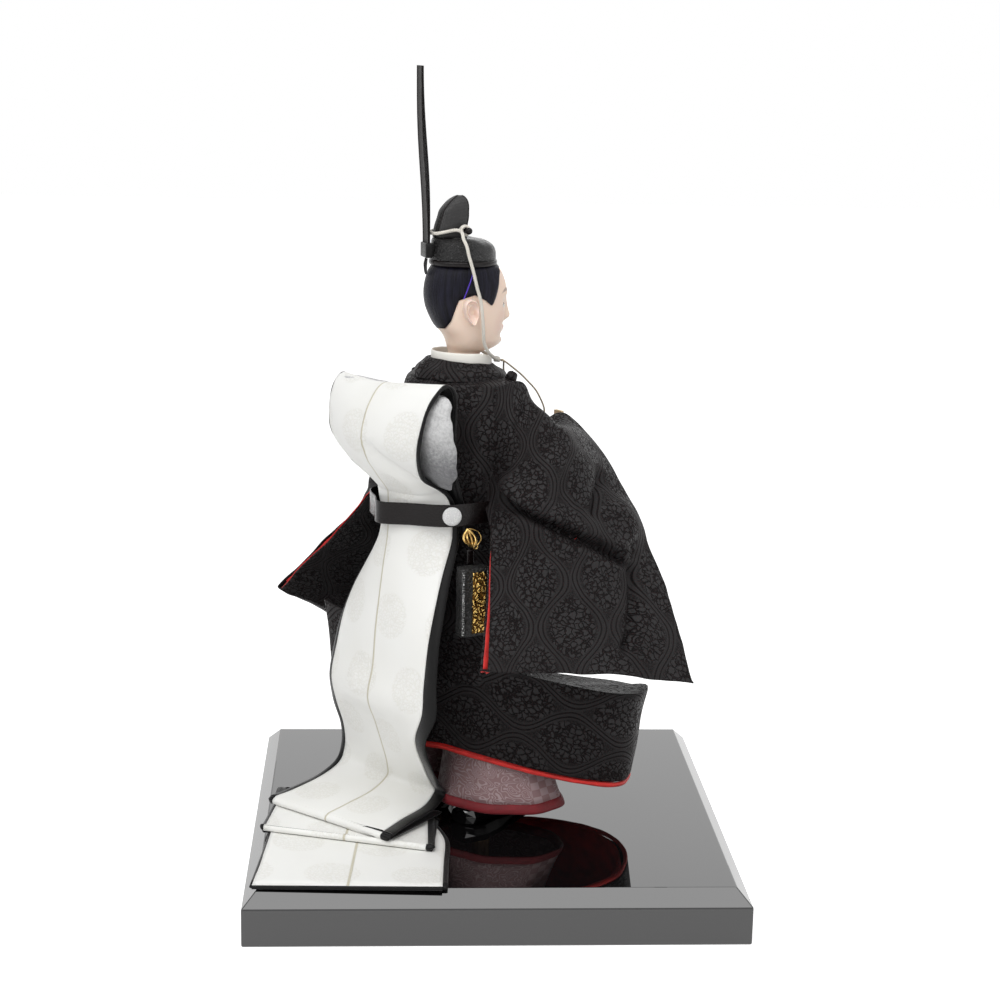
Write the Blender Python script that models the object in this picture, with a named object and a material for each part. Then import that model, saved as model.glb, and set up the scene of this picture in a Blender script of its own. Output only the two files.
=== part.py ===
# Hina doll: a standing court noble in black dress with a long white train, on a lacquered board.
# Metres, +Z up. The origin is at the middle of the board's underside and +X runs along its front edge.
# The doll's own frame stands on the board: +X is where the chest faces, +Y the doll's left.

import math

import bpy
import numpy as np
from mathutils import Vector

# Clearances
FIT_GAP = 0.0003
CLOTH_GAP = 0.0004
CUT_OVERRUN = 0.002
MILLI = 0.001

# Board
BOARD_WIDTH = 0.300
BOARD_DEPTH = 0.300
BOARD_HEIGHT = 0.033
BOARD_BEVEL_RUN = 0.009
BOARD_BEVEL_DROP = 0.0095

# Where the doll stands and how it is turned
DOLL_X = -0.020
DOLL_Y = -0.005
CHEST_TURN = math.radians(36.5)
HEAD_TURN = math.radians(14.0)
HIP_TURN = math.radians(70.7)
FOOT_TURN = math.radians(45.0)

# Heights above the board's top
HEM_HEIGHT = 0.014
SEAM_HEIGHT = 0.115
CORE_FOOT = 0.140
BELT_HEIGHT = 0.203
SHOULDER_HEIGHT = 0.272
NECK_HEIGHT = 0.288
YOKE_DROP = 0.0065
CHIN_HEIGHT = 0.298

# Fixing screws
SCREW_RADIUS = 0.0022
SCREW_HEAD_RADIUS = 0.0050
SCREW_HEAD_HEIGHT = 0.0032
SCREW_RECESS = 0.006
SCREW_RECESS_RADIUS = 0.0062
SCREW_REACH = 0.022
SCREW_SIDES = 12

# Legs and shoes
LEG_SPACING = 0.050
LEG_RADIUS = 0.0055
LEG_ENTRY = 0.018
SHOE_HEEL = 0.021
SHOE_TOE = 0.042
SHOE_WIDTH = 0.030
SHOE_HEIGHT = 0.015
SHOE_SIDES = 10
SHOE_BELLY_SHARE = 0.42

# Straw body core
CORE_HALF_DEPTH = 0.024
CORE_HALF_WIDTH = 0.033
CORE_TOP = 0.270
CORE_FLAT_SHARE = 0.12
ARM_START_GAP = 0.0022

# Arms
WIRE_RADIUS = 0.0014
ARM_RADIUS = 0.0072
ARM_HEIGHT = 0.250
WRIST_RADIUS = 0.0055
ARM_SIDES = 10
ARM_POINTS = 11
WIRE_SIDES = 6
ELBOW_SHARES = (0.26, 0.445, 0.835)
WRIST_SHARES = (0.76, 0.15, 0.83)
UPPER_ARM_SHARE = 0.08

# Hands and baton
HAND_LENGTH = 0.021
HAND_WIDTH = 0.012
HAND_THICKNESS = 0.010
HAND_SIDES = 12
GRIP_SHARE = 0.78
SHAKU_LENGTH = 0.078
SHAKU_WIDTH = 0.0069
SHAKU_THICKNESS = 0.0022
SHAKU_TIP_HEIGHT = 0.253

# Cloth
ROBE_THICKNESS = 0.0012
LINING_THICKNESS = 0.0007
TRAIN_FACE_THICKNESS = 0.0009
TRAIN_LINING_THICKNESS = 0.0008

# Robe body: half sizes at the belt, which the outline's shares follow
BODY_HALF_DEPTH = 0.034
BODY_HALF_WIDTH = 0.044
BODY_FOOT_SHARE = 1.10

# Collars
YOKE_SEAT = 0.0030
WHITE_COLLAR_RADIUS = 0.0180
COLLAR_WALL = 0.0024
COLLAR_CLEARANCE = 0.0022
BLACK_COLLAR_HEIGHT = 0.0058
BLACK_COLLAR_FLARE = 0.0095
COLLAR_SLOPE = 0.13
KNOT_RADIUS = 0.0050
KNOT_HEIGHT = 0.2876
KNOT_SHARES = (0.38, 0.66)
KNOT_SIDES = 14
COLLAR_BACK_SHARE = 0.08

# Hem band with its side flaps
BAND_REACH = 0.103
BAND_BACK = 0.042
BAND_FRONT = 0.060
BAND_HEIGHT = 0.062
BAND_SHIFT = 0.015
BAND_TILT_SHARE = 0.20
BAND_LINING_SHOW = 0.0028
BAND_LEFT_SLIM = 0.62
BAND_TIP_INSET = 0.007
SEAM_DROP = 0.0012
BAND_SIDES = 32
BAND_TURN_IN = 0.005
BAND_POINT_POWER = 0.8
BAND_SLIM_START = 0.3

# Sleeves
SLEEVE_FORWARD = 0.080
SLEEVE_REACH = 0.130
LEFT_SLEEVE_DROP = 0.032
SLEEVE_DROP_TOP_SHARE = 0.80
SLEEVE_DROP_RUN_SHARE = 0.45
SLEEVE_OUTER_POINTS = 11
SLEEVE_INNER_POINTS = 10
SLEEVE_STATIONS = 9

# Trousers
TROUSER_TOP = 0.1397
TROUSER_BAND = 0.006
RIGHT_TROUSER_HALF_WIDTH = 0.042
RIGHT_TROUSER_HALF_DEPTH = 0.030
LEFT_TROUSER_HALF_WIDTH = 0.033
LEFT_TROUSER_HALF_DEPTH = 0.025
RIGHT_TROUSER_PLACE = (0.006, -0.030)
LEFT_TROUSER_PLACE = (-0.038, 0.024)
TROUSER_TAPER_SHARE = 0.62
TROUSER_TAPER_POWER = 0.8
TROUSER_CLOSE_SHARE = 0.9

# Train
TRAIN_HALF_WIDTH = 0.055
TRAIN_BACK = 0.066
TRAIN_LOOP_TOP = 0.280
TRAIN_PIPING = 0.004
TRAIN_PITCH = 0.0025

# Belt
BELT_WIDTH = 0.014
BELT_THICKNESS = 0.0016
BELT_TILT_SHARE = 0.05
BELT_POINTS = 36
BELT_BACK_SHARE = 0.955
BELT_CORNER_SHARES = (0.60, 0.665)
STONE_ANGLE = math.radians(134.0)
LEFT_STONE_ANGLE = math.radians(108.0)
EYELET_ANGLE = math.radians(-100.0)
DISC_SIDES = 16
DISC_DOME_SHARE = 0.6
STONE_RADIUS = 0.0058
STONE_THICKNESS = 0.0022
EYELET_RADIUS = 0.0024

# Hip case hanging from the belt
CASE_HEIGHT = 0.043
CASE_WIDTH = 0.019
CASE_DEPTH = 0.010
CASE_DROP = 0.0235
STRAP_WIDTH = 0.0045
STRAP_THICKNESS = 0.0014
CASE_ANGLE = math.radians(-121.0)
CASE_BEVEL = 0.0012
MOUNT_DEPTH = 0.0010
MOUNT_WIDTH = 0.0090
MOUNT_HEIGHT = 0.034
STRAP_STAND = 0.0020
CASE_STAND = 0.0010
LOOP_START = math.radians(100.0)
LOOP_END = math.radians(430.0)
LOOP_STEPS = 18
LOOP_STAND = 0.0009
LOOP_HALF_WIDTH = 0.0054
LOOP_HALF_HEIGHT = 0.0062
LOOP_WIRE = 0.0011
LOOP_SIDES = 6

# Head
HEAD_HALF_LENGTH = 0.0255
HEAD_HALF_WIDTH = 0.0185
HEAD_HEIGHT = 0.060
NECK_FOOT = 0.2896
PEG_RADIUS = 0.0038
PEG_LENGTH = 0.026
HAIR_THICKNESS = 0.0012
HAIR_GAP = 0.0011
HAIR_EDGE_SHARE = 0.45
HAIR_TOP = 0.3572
SKULL_TOP = 0.3545
BROW_HEIGHT = 0.3468
BROW_GAP = 0.0008
HAIR_SHOULDER_HEIGHTS = (0.3500, 0.3525)
HAIR_RISE_SHARES = (0.0, 0.08, 0.4, 0.75, 1.0)
HAIRLINE_DEGREES = (0.0, 30.0, 45.0, 60.0, 76.0, 93.0, 111.0, 128.0, 145.0, 180.0)
HAIRLINE_HEIGHTS = (0.3488, 0.3478, 0.3425, 0.3255, 0.3310, 0.3340, 0.3310, 0.3170, 0.3120, 0.3110)
HEAD_LEVELS = (NECK_FOOT, 0.2962, 0.2980, 0.3004, 0.3034, 0.3066, 0.3098, 0.3122, 0.3146, 0.3180, 0.3204,
               0.3228, 0.3256, 0.3310, 0.3370, 0.3420, 0.3468, 0.3500, 0.3525, SKULL_TOP)
FACE_START_SHARE = 0.4
# stand of each feature, then its angle, angle spread, height and height spread
FACE_FEATURES = ((0.0026, 0.0, 0.10, 0.3180, 0.0042), (0.0009, 0.0, 0.10, 0.3250, 0.0050),
                 (0.0011, 0.0, 0.20, 0.3100, 0.0026), (-0.0009, 0.42, 0.20, 0.3245, 0.0040),
                 (-0.0009, -0.42, 0.20, 0.3245, 0.0040))
EAR_HEIGHT = 0.3225
EAR_LENGTH = 0.0165
EAR_WIDTH = 0.0095
EAR_STAND = 0.0030
EAR_FORWARD = -0.0015
EAR_SIDES = 14
EAR_SIDE_SHARE = 0.98
EAR_LOBE_SHARE = 0.25
EAR_TILT_SHARE = 0.12
EAR_SWEEP_SHARE = 0.3
PEG_SIDES = 16
THREAD_RADIUS = 0.0003

# Cap
KOJI_SIDE = 0.0076
CAP_CENTRE = -0.0014
CAP_RADIUS = 0.0202
CAP_WALL = 0.0015
CAP_FOOT = 0.3532
CAP_TOP = 0.3662
RIM_RADIUS = 0.0206
RIM_INNER = 0.0190
RIM_HEIGHT = 0.0030
KOJI_TOP = 0.3914
PIN_HEIGHT = 0.3714
PIN_FORWARD = -0.0026
PIN_HALF_LENGTH = 0.0160
PIN_RADIUS = 0.0011
PIN_BALL = 0.0022
PIN_SIDES = 12
KOJI_SIDES = 18
KOJI_POWER = 0.75
EI_WIDTH = 0.0115
EI_THICKNESS = 0.0006
EI_LEAN = 0.0448
EI_FOOT = 0.3560
EI_TOP = 0.4678
EI_PLACE = -0.0246
HOLDER_REAR = -0.0268
HOLDER_FRONT = -0.0219
HOLDER_WIDTH = 0.0140
HOLDER_FOOT = 0.3545
HOLDER_TOP = 0.3634
LOOP_CORD_RADIUS = 0.0005
CORD_RADIUS = 0.0010
TAIL_RADIUS = 0.0006
CHIN_KNOT_RADIUS = 0.0021
CHIN_KNOT_PLACE = (0.0214, 0.0, 0.2906)
CHIN_KNOT_SIDES = 12
TAIL_WAY = (0.90, -0.35, -0.25)
CHIN_CORD_POINTS = 42
SHORT_CORD_POINTS = 14

# Detail of round shapes
ROUND_SIDES = 20
CLOTH_SIDES = 24
FINE_STEPS = 24
TRAIN_COLUMNS = 7

BOARD_TOP = BOARD_HEIGHT


def remove_everything():
    """Empty the scene."""
    for item in list(bpy.data.objects):
        bpy.data.objects.remove(item, do_unlink=True)


def material(name, colour, roughness, metallic=0.0):
    """A Principled material with one colour."""
    made = bpy.data.materials.new(name)
    made.use_nodes = True
    shader = made.node_tree.nodes["Principled BSDF"]
    shader.inputs["Base Color"].default_value = (*colour, 1.0)
    shader.inputs["Roughness"].default_value = roughness
    shader.inputs["Metallic"].default_value = metallic
    made.diffuse_color = (*colour, 1.0)
    return made


def empty(name, place, turn, parent=None):
    """A frame that its children ride on."""
    made = bpy.data.objects.new(name, None)
    bpy.context.scene.collection.objects.link(made)
    made.location = place
    made.rotation_euler = (0.0, 0.0, turn)
    made.parent = parent
    return made


def signed_volume(points, faces):
    """Volume enclosed by faces, below zero when they point inward."""
    total = 0.0
    for face in faces:
        first = points[face[0]]
        for a, b in zip(face[1:-1], face[2:]):
            total += float(np.dot(first, np.cross(points[a], points[b])))
    return total


def mesh_object(name, points, faces, look, parent=None, smooth=40.0):
    """One closed mesh whose faces point outward."""
    points = np.array(points, float)
    if signed_volume(points, faces) < 0.0:
        faces = [tuple(reversed(face)) for face in faces]
    mesh = bpy.data.meshes.new(name)
    mesh.from_pydata([tuple(p) for p in points], [], faces)
    mesh.materials.append(look)
    mesh.shade_smooth()
    mesh.set_sharp_from_angle(angle=math.radians(smooth))
    made = bpy.data.objects.new(name, mesh)
    bpy.context.scene.collection.objects.link(made)
    made.parent = parent
    return made


def loft(name, rings, look, parent=None, smooth=40.0):
    """A solid through closed rings of equal point counts, with flat ends."""
    count = len(rings[0])
    points = [p for ring in rings for p in ring]
    faces = []
    for i in range(len(rings) - 1):
        for j in range(count):
            k = (j + 1) % count
            faces.append((i * count + j, i * count + k, (i + 1) * count + k, (i + 1) * count + j))
    faces.append(tuple(reversed(range(count))))
    last = (len(rings) - 1) * count
    faces.append(tuple(range(last, last + count)))
    return mesh_object(name, points, faces, look, parent, smooth)


def grid_normals(grid, closed):
    """Unit normals of a grid of points, rows along and columns across."""
    along = np.gradient(grid, axis=0)
    if closed:
        across = np.roll(grid, -1, axis=1) - np.roll(grid, 1, axis=1)
    else:
        across = np.gradient(grid, axis=1)
    normal = np.cross(across, along)
    size = np.linalg.norm(normal, axis=2, keepdims=True)
    return normal / np.maximum(size, 1e-12)


def sheet(name, grid, upper, lower, look, parent=None, closed=False, smooth=50.0):
    """A cloth solid between two offsets of a grid of points."""
    grid = np.array(grid, float)
    normal = grid_normals(grid, closed)
    rows, columns = grid.shape[:2]
    above = (grid + normal * upper).reshape(-1, 3)
    below = (grid + normal * lower).reshape(-1, 3)
    points = np.concatenate([above, below])
    half = rows * columns
    steps = columns if closed else columns - 1
    faces = []
    for i in range(rows - 1):
        for j in range(steps):
            k = (j + 1) % columns
            a, b = i * columns + j, i * columns + k
            c, d = (i + 1) * columns + k, (i + 1) * columns + j
            for corner in ((a, b, c), (a, c, d)):
                faces.append(corner)
                faces.append(tuple(half + q for q in reversed(corner)))
    for j in range(steps):
        k = (j + 1) % columns
        faces.append((k, j, half + j, half + k))
        end = (rows - 1) * columns
        faces.append((end + j, end + k, half + end + k, half + end + j))
    if not closed:
        for i in range(rows - 1):
            a = i * columns
            b = (i + 1) * columns
            faces.append((a, b, half + b, half + a))
            a += columns - 1
            b += columns - 1
            faces.append((b, a, half + a, half + b))
    return mesh_object(name, points, faces, look, parent, smooth)


def smooth_path(points, count):
    """Evenly spaced points on a smooth curve through the given points."""
    points = np.array(points, float)
    padded = np.vstack([2 * points[0] - points[1], points, 2 * points[-1] - points[-2]])
    dense = []
    for i in range(len(points) - 1):
        p0, p1, p2, p3 = padded[i:i + 4]
        for t in np.linspace(0.0, 1.0, FINE_STEPS, endpoint=False):
            dense.append(0.5 * (2 * p1 + (p2 - p0) * t + (2 * p0 - 5 * p1 + 4 * p2 - p3) * t ** 2
                                + (3 * p1 - p0 - 3 * p2 + p3) * t ** 3))
    dense.append(points[-1])
    dense = np.array(dense)
    run = np.concatenate([[0.0], np.cumsum(np.linalg.norm(np.diff(dense, axis=0), axis=1))])
    wanted = np.linspace(0.0, run[-1], count)
    return np.stack([np.interp(wanted, run, dense[:, axis]) for axis in range(dense.shape[1])], axis=1)


def tube_frames(path):
    """Side and up directions along a path, turning as little as they can."""
    path = np.array(path, float)
    ahead = np.gradient(path, axis=0)
    ahead /= np.linalg.norm(ahead, axis=1, keepdims=True)
    side = np.cross(ahead[0], (0.0, 0.0, 1.0))
    if np.linalg.norm(side) < 0.1:
        side = np.cross(ahead[0], (0.0, 1.0, 0.0))
    sides = []
    for direction in ahead:
        side = side - direction * np.dot(side, direction)
        side = side / np.linalg.norm(side)
        sides.append(side)
    sides = np.array(sides)
    return sides, np.cross(ahead, sides)


def tube(name, path, radii, look, parent=None, bore=0.0, sides=14):
    """A round bar along a path, or a pipe when it has a bore."""
    path = np.array(path, float)
    radii = np.broadcast_to(radii, len(path))
    across, up = tube_frames(path)
    angles = np.linspace(0.0, 2 * math.pi, sides, endpoint=False)
    around = [np.cos(a) * across + np.sin(a) * up for a in angles]
    outer = [[path[i] + radii[i] * around[j][i] for j in range(sides)] for i in range(len(path))]
    if bore == 0.0:
        return loft(name, outer, look, parent)
    inner = [[path[i] + bore * around[j][i] for j in range(sides)] for i in range(len(path))]
    rings = outer + inner[::-1]
    count = len(rings)
    points = [p for ring in rings for p in ring]
    faces = []
    for i in range(count):
        for j in range(sides):
            k = (j + 1) % sides
            n = (i + 1) % count
            faces.append((i * sides + j, i * sides + k, n * sides + k, n * sides + j))
    return mesh_object(name, points, faces, look, parent)


def cord(name, points, radius, look, parent=None):
    """A cord as a curve with a round section and filled ends."""
    curve = bpy.data.curves.new(name, "CURVE")
    curve.dimensions = "3D"
    curve.bevel_depth = radius
    curve.bevel_resolution = 2
    curve.use_fill_caps = True
    spline = curve.splines.new("POLY")
    spline.points.add(len(points) - 1)
    for target, point in zip(spline.points, points):
        target.co = (*point, 1.0)
    curve.materials.append(look)
    made = bpy.data.objects.new(name, curve)
    bpy.context.scene.collection.objects.link(made)
    made.parent = parent
    return made


def ellipse_ring(centre, half_x, half_y, height, sides=ROUND_SIDES, turn=0.0):
    """A level ring of points around a centre."""
    ring = []
    for i in range(sides):
        angle = 2 * math.pi * i / sides
        x = half_x * math.cos(angle)
        y = half_y * math.sin(angle)
        ring.append((centre[0] + x * math.cos(turn) - y * math.sin(turn),
                     centre[1] + x * math.sin(turn) + y * math.cos(turn), height))
    return ring


def cylinder(name, centre, radius, low, high, look, parent=None, sides=ROUND_SIDES):
    """An upright round bar."""
    return loft(name, [ellipse_ring(centre, radius, radius, low, sides),
                       ellipse_ring(centre, radius, radius, high, sides)], look, parent)


def turned(name, profile, centre, look, parent=None, sides=ROUND_SIDES):
    """A solid turned around an upright axis, from radius and height pairs."""
    rings = [ellipse_ring(centre, radius, radius, height, sides) for radius, height in profile]
    return loft(name, rings, look, parent)


def ring_solid(name, outline, look, parent=None):
    """A closed ring from four loops: outer low, outer high, inner high, inner low."""
    count = len(outline[0])
    points = [p for loop in outline for p in loop]
    faces = []
    for i in range(4):
        n = (i + 1) % 4
        for j in range(count):
            k = (j + 1) % count
            faces.append((i * count + j, i * count + k, n * count + k, n * count + j))
    return mesh_object(name, points, faces, look, parent)


def as_cutter(made):
    """Hide a piece that only cuts or joins others."""
    made.hide_render = True
    made.display_type = "WIRE"
    return made


def combine(target, other, operation):
    """Cut or join one piece with another."""
    change = target.modifiers.new(operation.lower() + "_" + other.name, "BOOLEAN")
    change.operation = operation
    change.solver = "EXACT"
    change.object = other
    return target


def chest_place(x, y):
    """Board coordinates of a place in the doll's own frame."""
    c, s = math.cos(CHEST_TURN), math.sin(CHEST_TURN)
    return DOLL_X + x * c - y * s, DOLL_Y + x * s + y * c


def chest_from_board(x, y):
    """The doll's own coordinates of a place on the board."""
    c, s = math.cos(CHEST_TURN), math.sin(CHEST_TURN)
    dx, dy = x - DOLL_X, y - DOLL_Y
    return dx * c + dy * s, -dx * s + dy * c


# Board and fixings

def leg_places():
    """Where the two legs stand, in the doll's frame."""
    return {"right": (0.0, -LEG_SPACING / 2), "left": (0.0, LEG_SPACING / 2)}


def build_board(looks):
    """The lacquered board with two screw holes from below."""
    def corners(inset, height):
        x = BOARD_WIDTH / 2 - inset
        y = BOARD_DEPTH / 2 - inset
        return [(-x, -y, height), (x, -y, height), (x, y, height), (-x, y, height)]
    board = loft("base_board", [corners(0.0, 0.0), corners(0.0, BOARD_HEIGHT - BOARD_BEVEL_DROP),
                                corners(BOARD_BEVEL_RUN, BOARD_HEIGHT)], looks["lacquer"], smooth=5.0)
    for side, (x, y) in leg_places().items():
        centre = chest_place(x, y)
        hole = cylinder("cut_hole_" + side, centre, SCREW_RADIUS + FIT_GAP, -CUT_OVERRUN,
                        BOARD_HEIGHT + CUT_OVERRUN, looks["steel"], sides=SCREW_SIDES)
        recess = cylinder("cut_recess_" + side, centre, SCREW_RECESS_RADIUS, -CUT_OVERRUN,
                          SCREW_RECESS, looks["steel"], sides=SCREW_SIDES)
        combine(board, as_cutter(hole), "DIFFERENCE")
        combine(board, as_cutter(recess), "DIFFERENCE")
        head_top = SCREW_RECESS - FIT_GAP
        profile = [(SCREW_HEAD_RADIUS, head_top - SCREW_HEAD_HEIGHT), (SCREW_HEAD_RADIUS, head_top),
                   (SCREW_RADIUS, head_top), (SCREW_RADIUS, BOARD_HEIGHT + SCREW_REACH)]
        turned("fixing_screw_" + side, profile, centre, looks["steel"], sides=SCREW_SIDES)


def build_legs(looks, doll):
    """Wooden leg dowels and lacquered shoes."""
    for side, (x, y) in leg_places().items():
        leg = cylinder("leg_" + side, (x, y), LEG_RADIUS, FIT_GAP, CORE_FOOT + LEG_ENTRY,
                       looks["wood"], doll)
        bore = cylinder("cut_leg_" + side, (x, y), SCREW_RADIUS + FIT_GAP, -CUT_OVERRUN,
                        SCREW_REACH + FIT_GAP, looks["wood"], doll, SCREW_SIDES)
        combine(leg, as_cutter(bore), "DIFFERENCE")
        build_shoe(side, (x, y), looks, doll)


def build_shoe(side, centre, looks, doll):
    """A round-toed court shoe, bored for the leg."""
    turn = FOOT_TURN - CHEST_TURN
    length_shares = (-1.0, -0.86, -0.4, 0.1, 0.45, 0.78, 1.0)
    width_shares = (0.45, 0.80, 0.92, 0.86, 1.0, 0.84, 0.40)
    height_shares = (0.72, 0.90, 1.0, 0.95, 0.62, 0.52, 0.40)
    rings = []
    for along, wide, tall in zip(length_shares, width_shares, height_shares):
        x = along * (SHOE_TOE if along > 0.0 else SHOE_HEEL)
        half = wide * SHOE_WIDTH / 2
        top = tall * SHOE_HEIGHT
        section = []
        for i in range(SHOE_SIDES):
            angle = 2 * math.pi * i / SHOE_SIDES
            y = half * math.cos(angle)
            z = max(0.0, top * (SHOE_BELLY_SHARE + (1.0 - SHOE_BELLY_SHARE) * math.sin(angle)))
            section.append((centre[0] + x * math.cos(turn) - y * math.sin(turn),
                            centre[1] + x * math.sin(turn) + y * math.cos(turn), FIT_GAP + z))
        rings.append(section)
    shoe = loft("shoe_" + side, rings, looks["lacquer"], doll)
    bore = cylinder("cut_shoe_" + side, centre, LEG_RADIUS + FIT_GAP, -CUT_OVERRUN,
                    SHOE_HEIGHT + CUT_OVERRUN, looks["wood"], doll)
    combine(shoe, as_cutter(bore), "DIFFERENCE")


# Body core and arms

def arm_path(sign, start):
    """Middle line of an arm from the body to the wrist."""
    scale = (SLEEVE_FORWARD, sign * SLEEVE_REACH, SHOULDER_HEIGHT)
    elbow = [share * size for share, size in zip(ELBOW_SHARES, scale)]
    wrist = [share * size for share, size in zip(WRIST_SHARES, scale)]
    shoulder = (0.0, sign * start, ARM_HEIGHT)
    upper = (0.0, sign * (start + UPPER_ARM_SHARE * SLEEVE_REACH), ARM_HEIGHT)
    return smooth_path([shoulder, upper, elbow, wrist], ARM_POINTS)


def build_core(looks, doll):
    """The straw body with its bores for legs, arm wire and neck peg."""
    shares = ((0.0, 0.72), (0.03, 0.86), (0.35, 0.92), (0.75, 1.0), (0.92, 0.88), (1.0, 0.60))
    rings = []
    for rise, wide in shares:
        height = CORE_FOOT + rise * (CORE_TOP - CORE_FOOT)
        half_width = CORE_HALF_WIDTH * min(1.0, wide + CORE_FLAT_SHARE)
        rings.append(ellipse_ring((0.0, 0.0), wide * CORE_HALF_DEPTH, half_width,
                                  height, CLOTH_SIDES))
    core = loft("straw_core", rings, looks["straw"], doll)
    for side, place in leg_places().items():
        bore = cylinder("cut_core_" + side, place, LEG_RADIUS + FIT_GAP, CORE_FOOT - CUT_OVERRUN,
                        CORE_FOOT + LEG_ENTRY + FIT_GAP, looks["wood"], doll)
        combine(core, as_cutter(bore), "DIFFERENCE")
    neck = cylinder("cut_neck", (0.0, 0.0), PEG_RADIUS + FIT_GAP, NECK_HEIGHT - PEG_LENGTH - FIT_GAP,
                    CORE_TOP + CUT_OVERRUN, looks["wood"], doll)
    combine(core, as_cutter(neck), "DIFFERENCE")
    reach = CORE_HALF_WIDTH + CUT_OVERRUN
    wire = tube("cut_wire", [(0.0, -reach, ARM_HEIGHT), (0.0, 0.0, ARM_HEIGHT), (0.0, reach, ARM_HEIGHT)],
                WIRE_RADIUS + FIT_GAP, looks["steel"], doll)
    combine(core, as_cutter(wire), "DIFFERENCE")


def build_arms(looks, doll):
    """One bent wire through the body, with a wound pad on each arm."""
    start = CORE_HALF_WIDTH + ARM_START_GAP
    right = arm_path(-1.0, start)
    left = arm_path(1.0, start)
    whole = list(right[::-1]) + list(left)
    tube("arm_wire", whole, WIRE_RADIUS, looks["steel"], doll, sides=WIRE_SIDES)
    for side, path in (("right", right), ("left", left)):
        share = np.linspace(0.0, 1.0, len(path))
        radii = ARM_RADIUS + (WRIST_RADIUS - ARM_RADIUS) * share
        tube("arm_pad_" + side, path, radii, looks["straw"], doll, bore=WIRE_RADIUS + FIT_GAP,
             sides=ARM_SIDES)


def hand_frame(sign):
    """Where a hand starts and the way it points."""
    path = arm_path(sign, CORE_HALF_WIDTH + ARM_START_GAP)
    ahead = path[-1] - path[-2]
    ahead = ahead / np.linalg.norm(ahead)
    return path[-1] + ahead * 2 * FIT_GAP, ahead


def build_hands(looks, doll):
    """Carved hands; the right one is slotted for the baton."""
    length_shares = (0.0, 0.25, 0.55, 0.85, 1.0)
    width_shares = (0.62, 0.80, 1.0, 0.92, 0.55)
    for side, sign in (("right", -1.0), ("left", 1.0)):
        start, ahead = hand_frame(sign)
        flat = np.cross(ahead, (0.0, 0.0, 1.0))
        flat = flat / np.linalg.norm(flat)
        up = np.cross(flat, ahead)
        rings = []
        for along, wide in zip(length_shares, width_shares):
            middle = start + ahead * along * HAND_LENGTH
            ring = []
            for i in range(HAND_SIDES):
                angle = 2 * math.pi * i / HAND_SIDES
                ring.append(middle + flat * math.cos(angle) * wide * HAND_THICKNESS / 2
                            + up * math.sin(angle) * wide * HAND_WIDTH / 2)
            rings.append(ring)
        hand = loft("hand_" + side, rings, looks["gofun"], doll)
        if side == "right":
            grip = start + ahead * GRIP_SHARE * HAND_LENGTH
            build_shaku(grip, hand, looks, doll)


def slab(name, centre, size, turn, look, parent=None, narrow_share=1.0):
    """An upright slab turned about Z, narrower at its foot by a share."""
    rings = []
    for level, share in ((-0.5, narrow_share), (0.5, 1.0)):
        ring = []
        for i, j in ((-1, -1), (1, -1), (1, 1), (-1, 1)):
            x = i * size[0] / 2
            y = j * size[1] / 2 * share
            ring.append((centre[0] + x * math.cos(turn) - y * math.sin(turn),
                         centre[1] + x * math.sin(turn) + y * math.cos(turn), centre[2] + level * size[2]))
        rings.append(ring)
    return loft(name, rings, look, parent, smooth=5.0)


def build_shaku(grip, hand, looks, doll):
    """The flat wooden baton, upright in the right hand."""
    centre = (grip[0], grip[1], SHAKU_TIP_HEIGHT - SHAKU_LENGTH / 2)
    size = (SHAKU_THICKNESS, SHAKU_WIDTH, SHAKU_LENGTH)
    room = (SHAKU_THICKNESS + 2 * FIT_GAP, SHAKU_WIDTH + 2 * FIT_GAP, SHAKU_LENGTH + 2 * CUT_OVERRUN)
    combine(hand, as_cutter(slab("cut_shaku", centre, room, 0.0, looks["wood"], doll)), "DIFFERENCE")
    slab("shaku", centre, size, 0.0, looks["pale_wood"], doll)


# Robe

def band_seam(x, y):
    """Height of the seam over the hem band at a place in the doll's frame."""
    board_x = chest_place(x, y)[0]
    return SEAM_HEIGHT - BAND_TILT_SHARE * (board_x - DOLL_X)


def robe_rows():
    """Level rings of the robe's body from its foot to the neck."""
    # height share, then front, back and side as shares of the half sizes at the belt
    lower_shares = ((0.00, 1.20, 1.17, 1.24), (0.30, 1.14, 1.11, 1.12), (0.62, 1.04, 1.02, 1.02),
                    (0.84, 1.0, 1.0, 1.0))
    upper_shares = ((0.0, 1.0, 1.0, 1.0), (0.45, 0.98, 1.0, 1.02), (0.70, 0.95, 0.98, 1.03),
                    (0.86, 0.92, 0.97, 1.0), (0.95, 0.84, 0.96, 0.94), (1.0, 0.68, 0.90, 0.82),
                    (1.028, 0.44, 0.60, 0.39))
    top = NECK_HEIGHT - YOKE_DROP
    rows = []
    for table, foot, head in ((lower_shares, None, BELT_HEIGHT), (upper_shares, BELT_HEIGHT, top)):
        for rise, front, back, wide in table:
            row = []
            for j in range(CLOTH_SIDES):
                angle = 2 * math.pi * j / CLOTH_SIDES
                deep = front if math.cos(angle) > 0.0 else back
                x = deep * BODY_HALF_DEPTH * math.cos(angle)
                y = wide * BODY_HALF_WIDTH * math.sin(angle)
                low = band_seam(x, y) if foot is None else foot
                row.append((x, y, low + rise * (head - low)))
            rows.append(row)
    return rows


def build_robe_body(looks, doll):
    """The robe's body, from the neck down to the hem band's seam, with an armhole each side."""
    body = sheet("robe_body", robe_rows(), 0.0, -ROBE_THICKNESS, looks["damask"], doll, closed=True)
    for side, sign in (("right", -1.0), ("left", 1.0)):
        combine(body, arm_cutter("cut_body_arm_" + side, sign, looks, doll), "DIFFERENCE")


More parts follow.
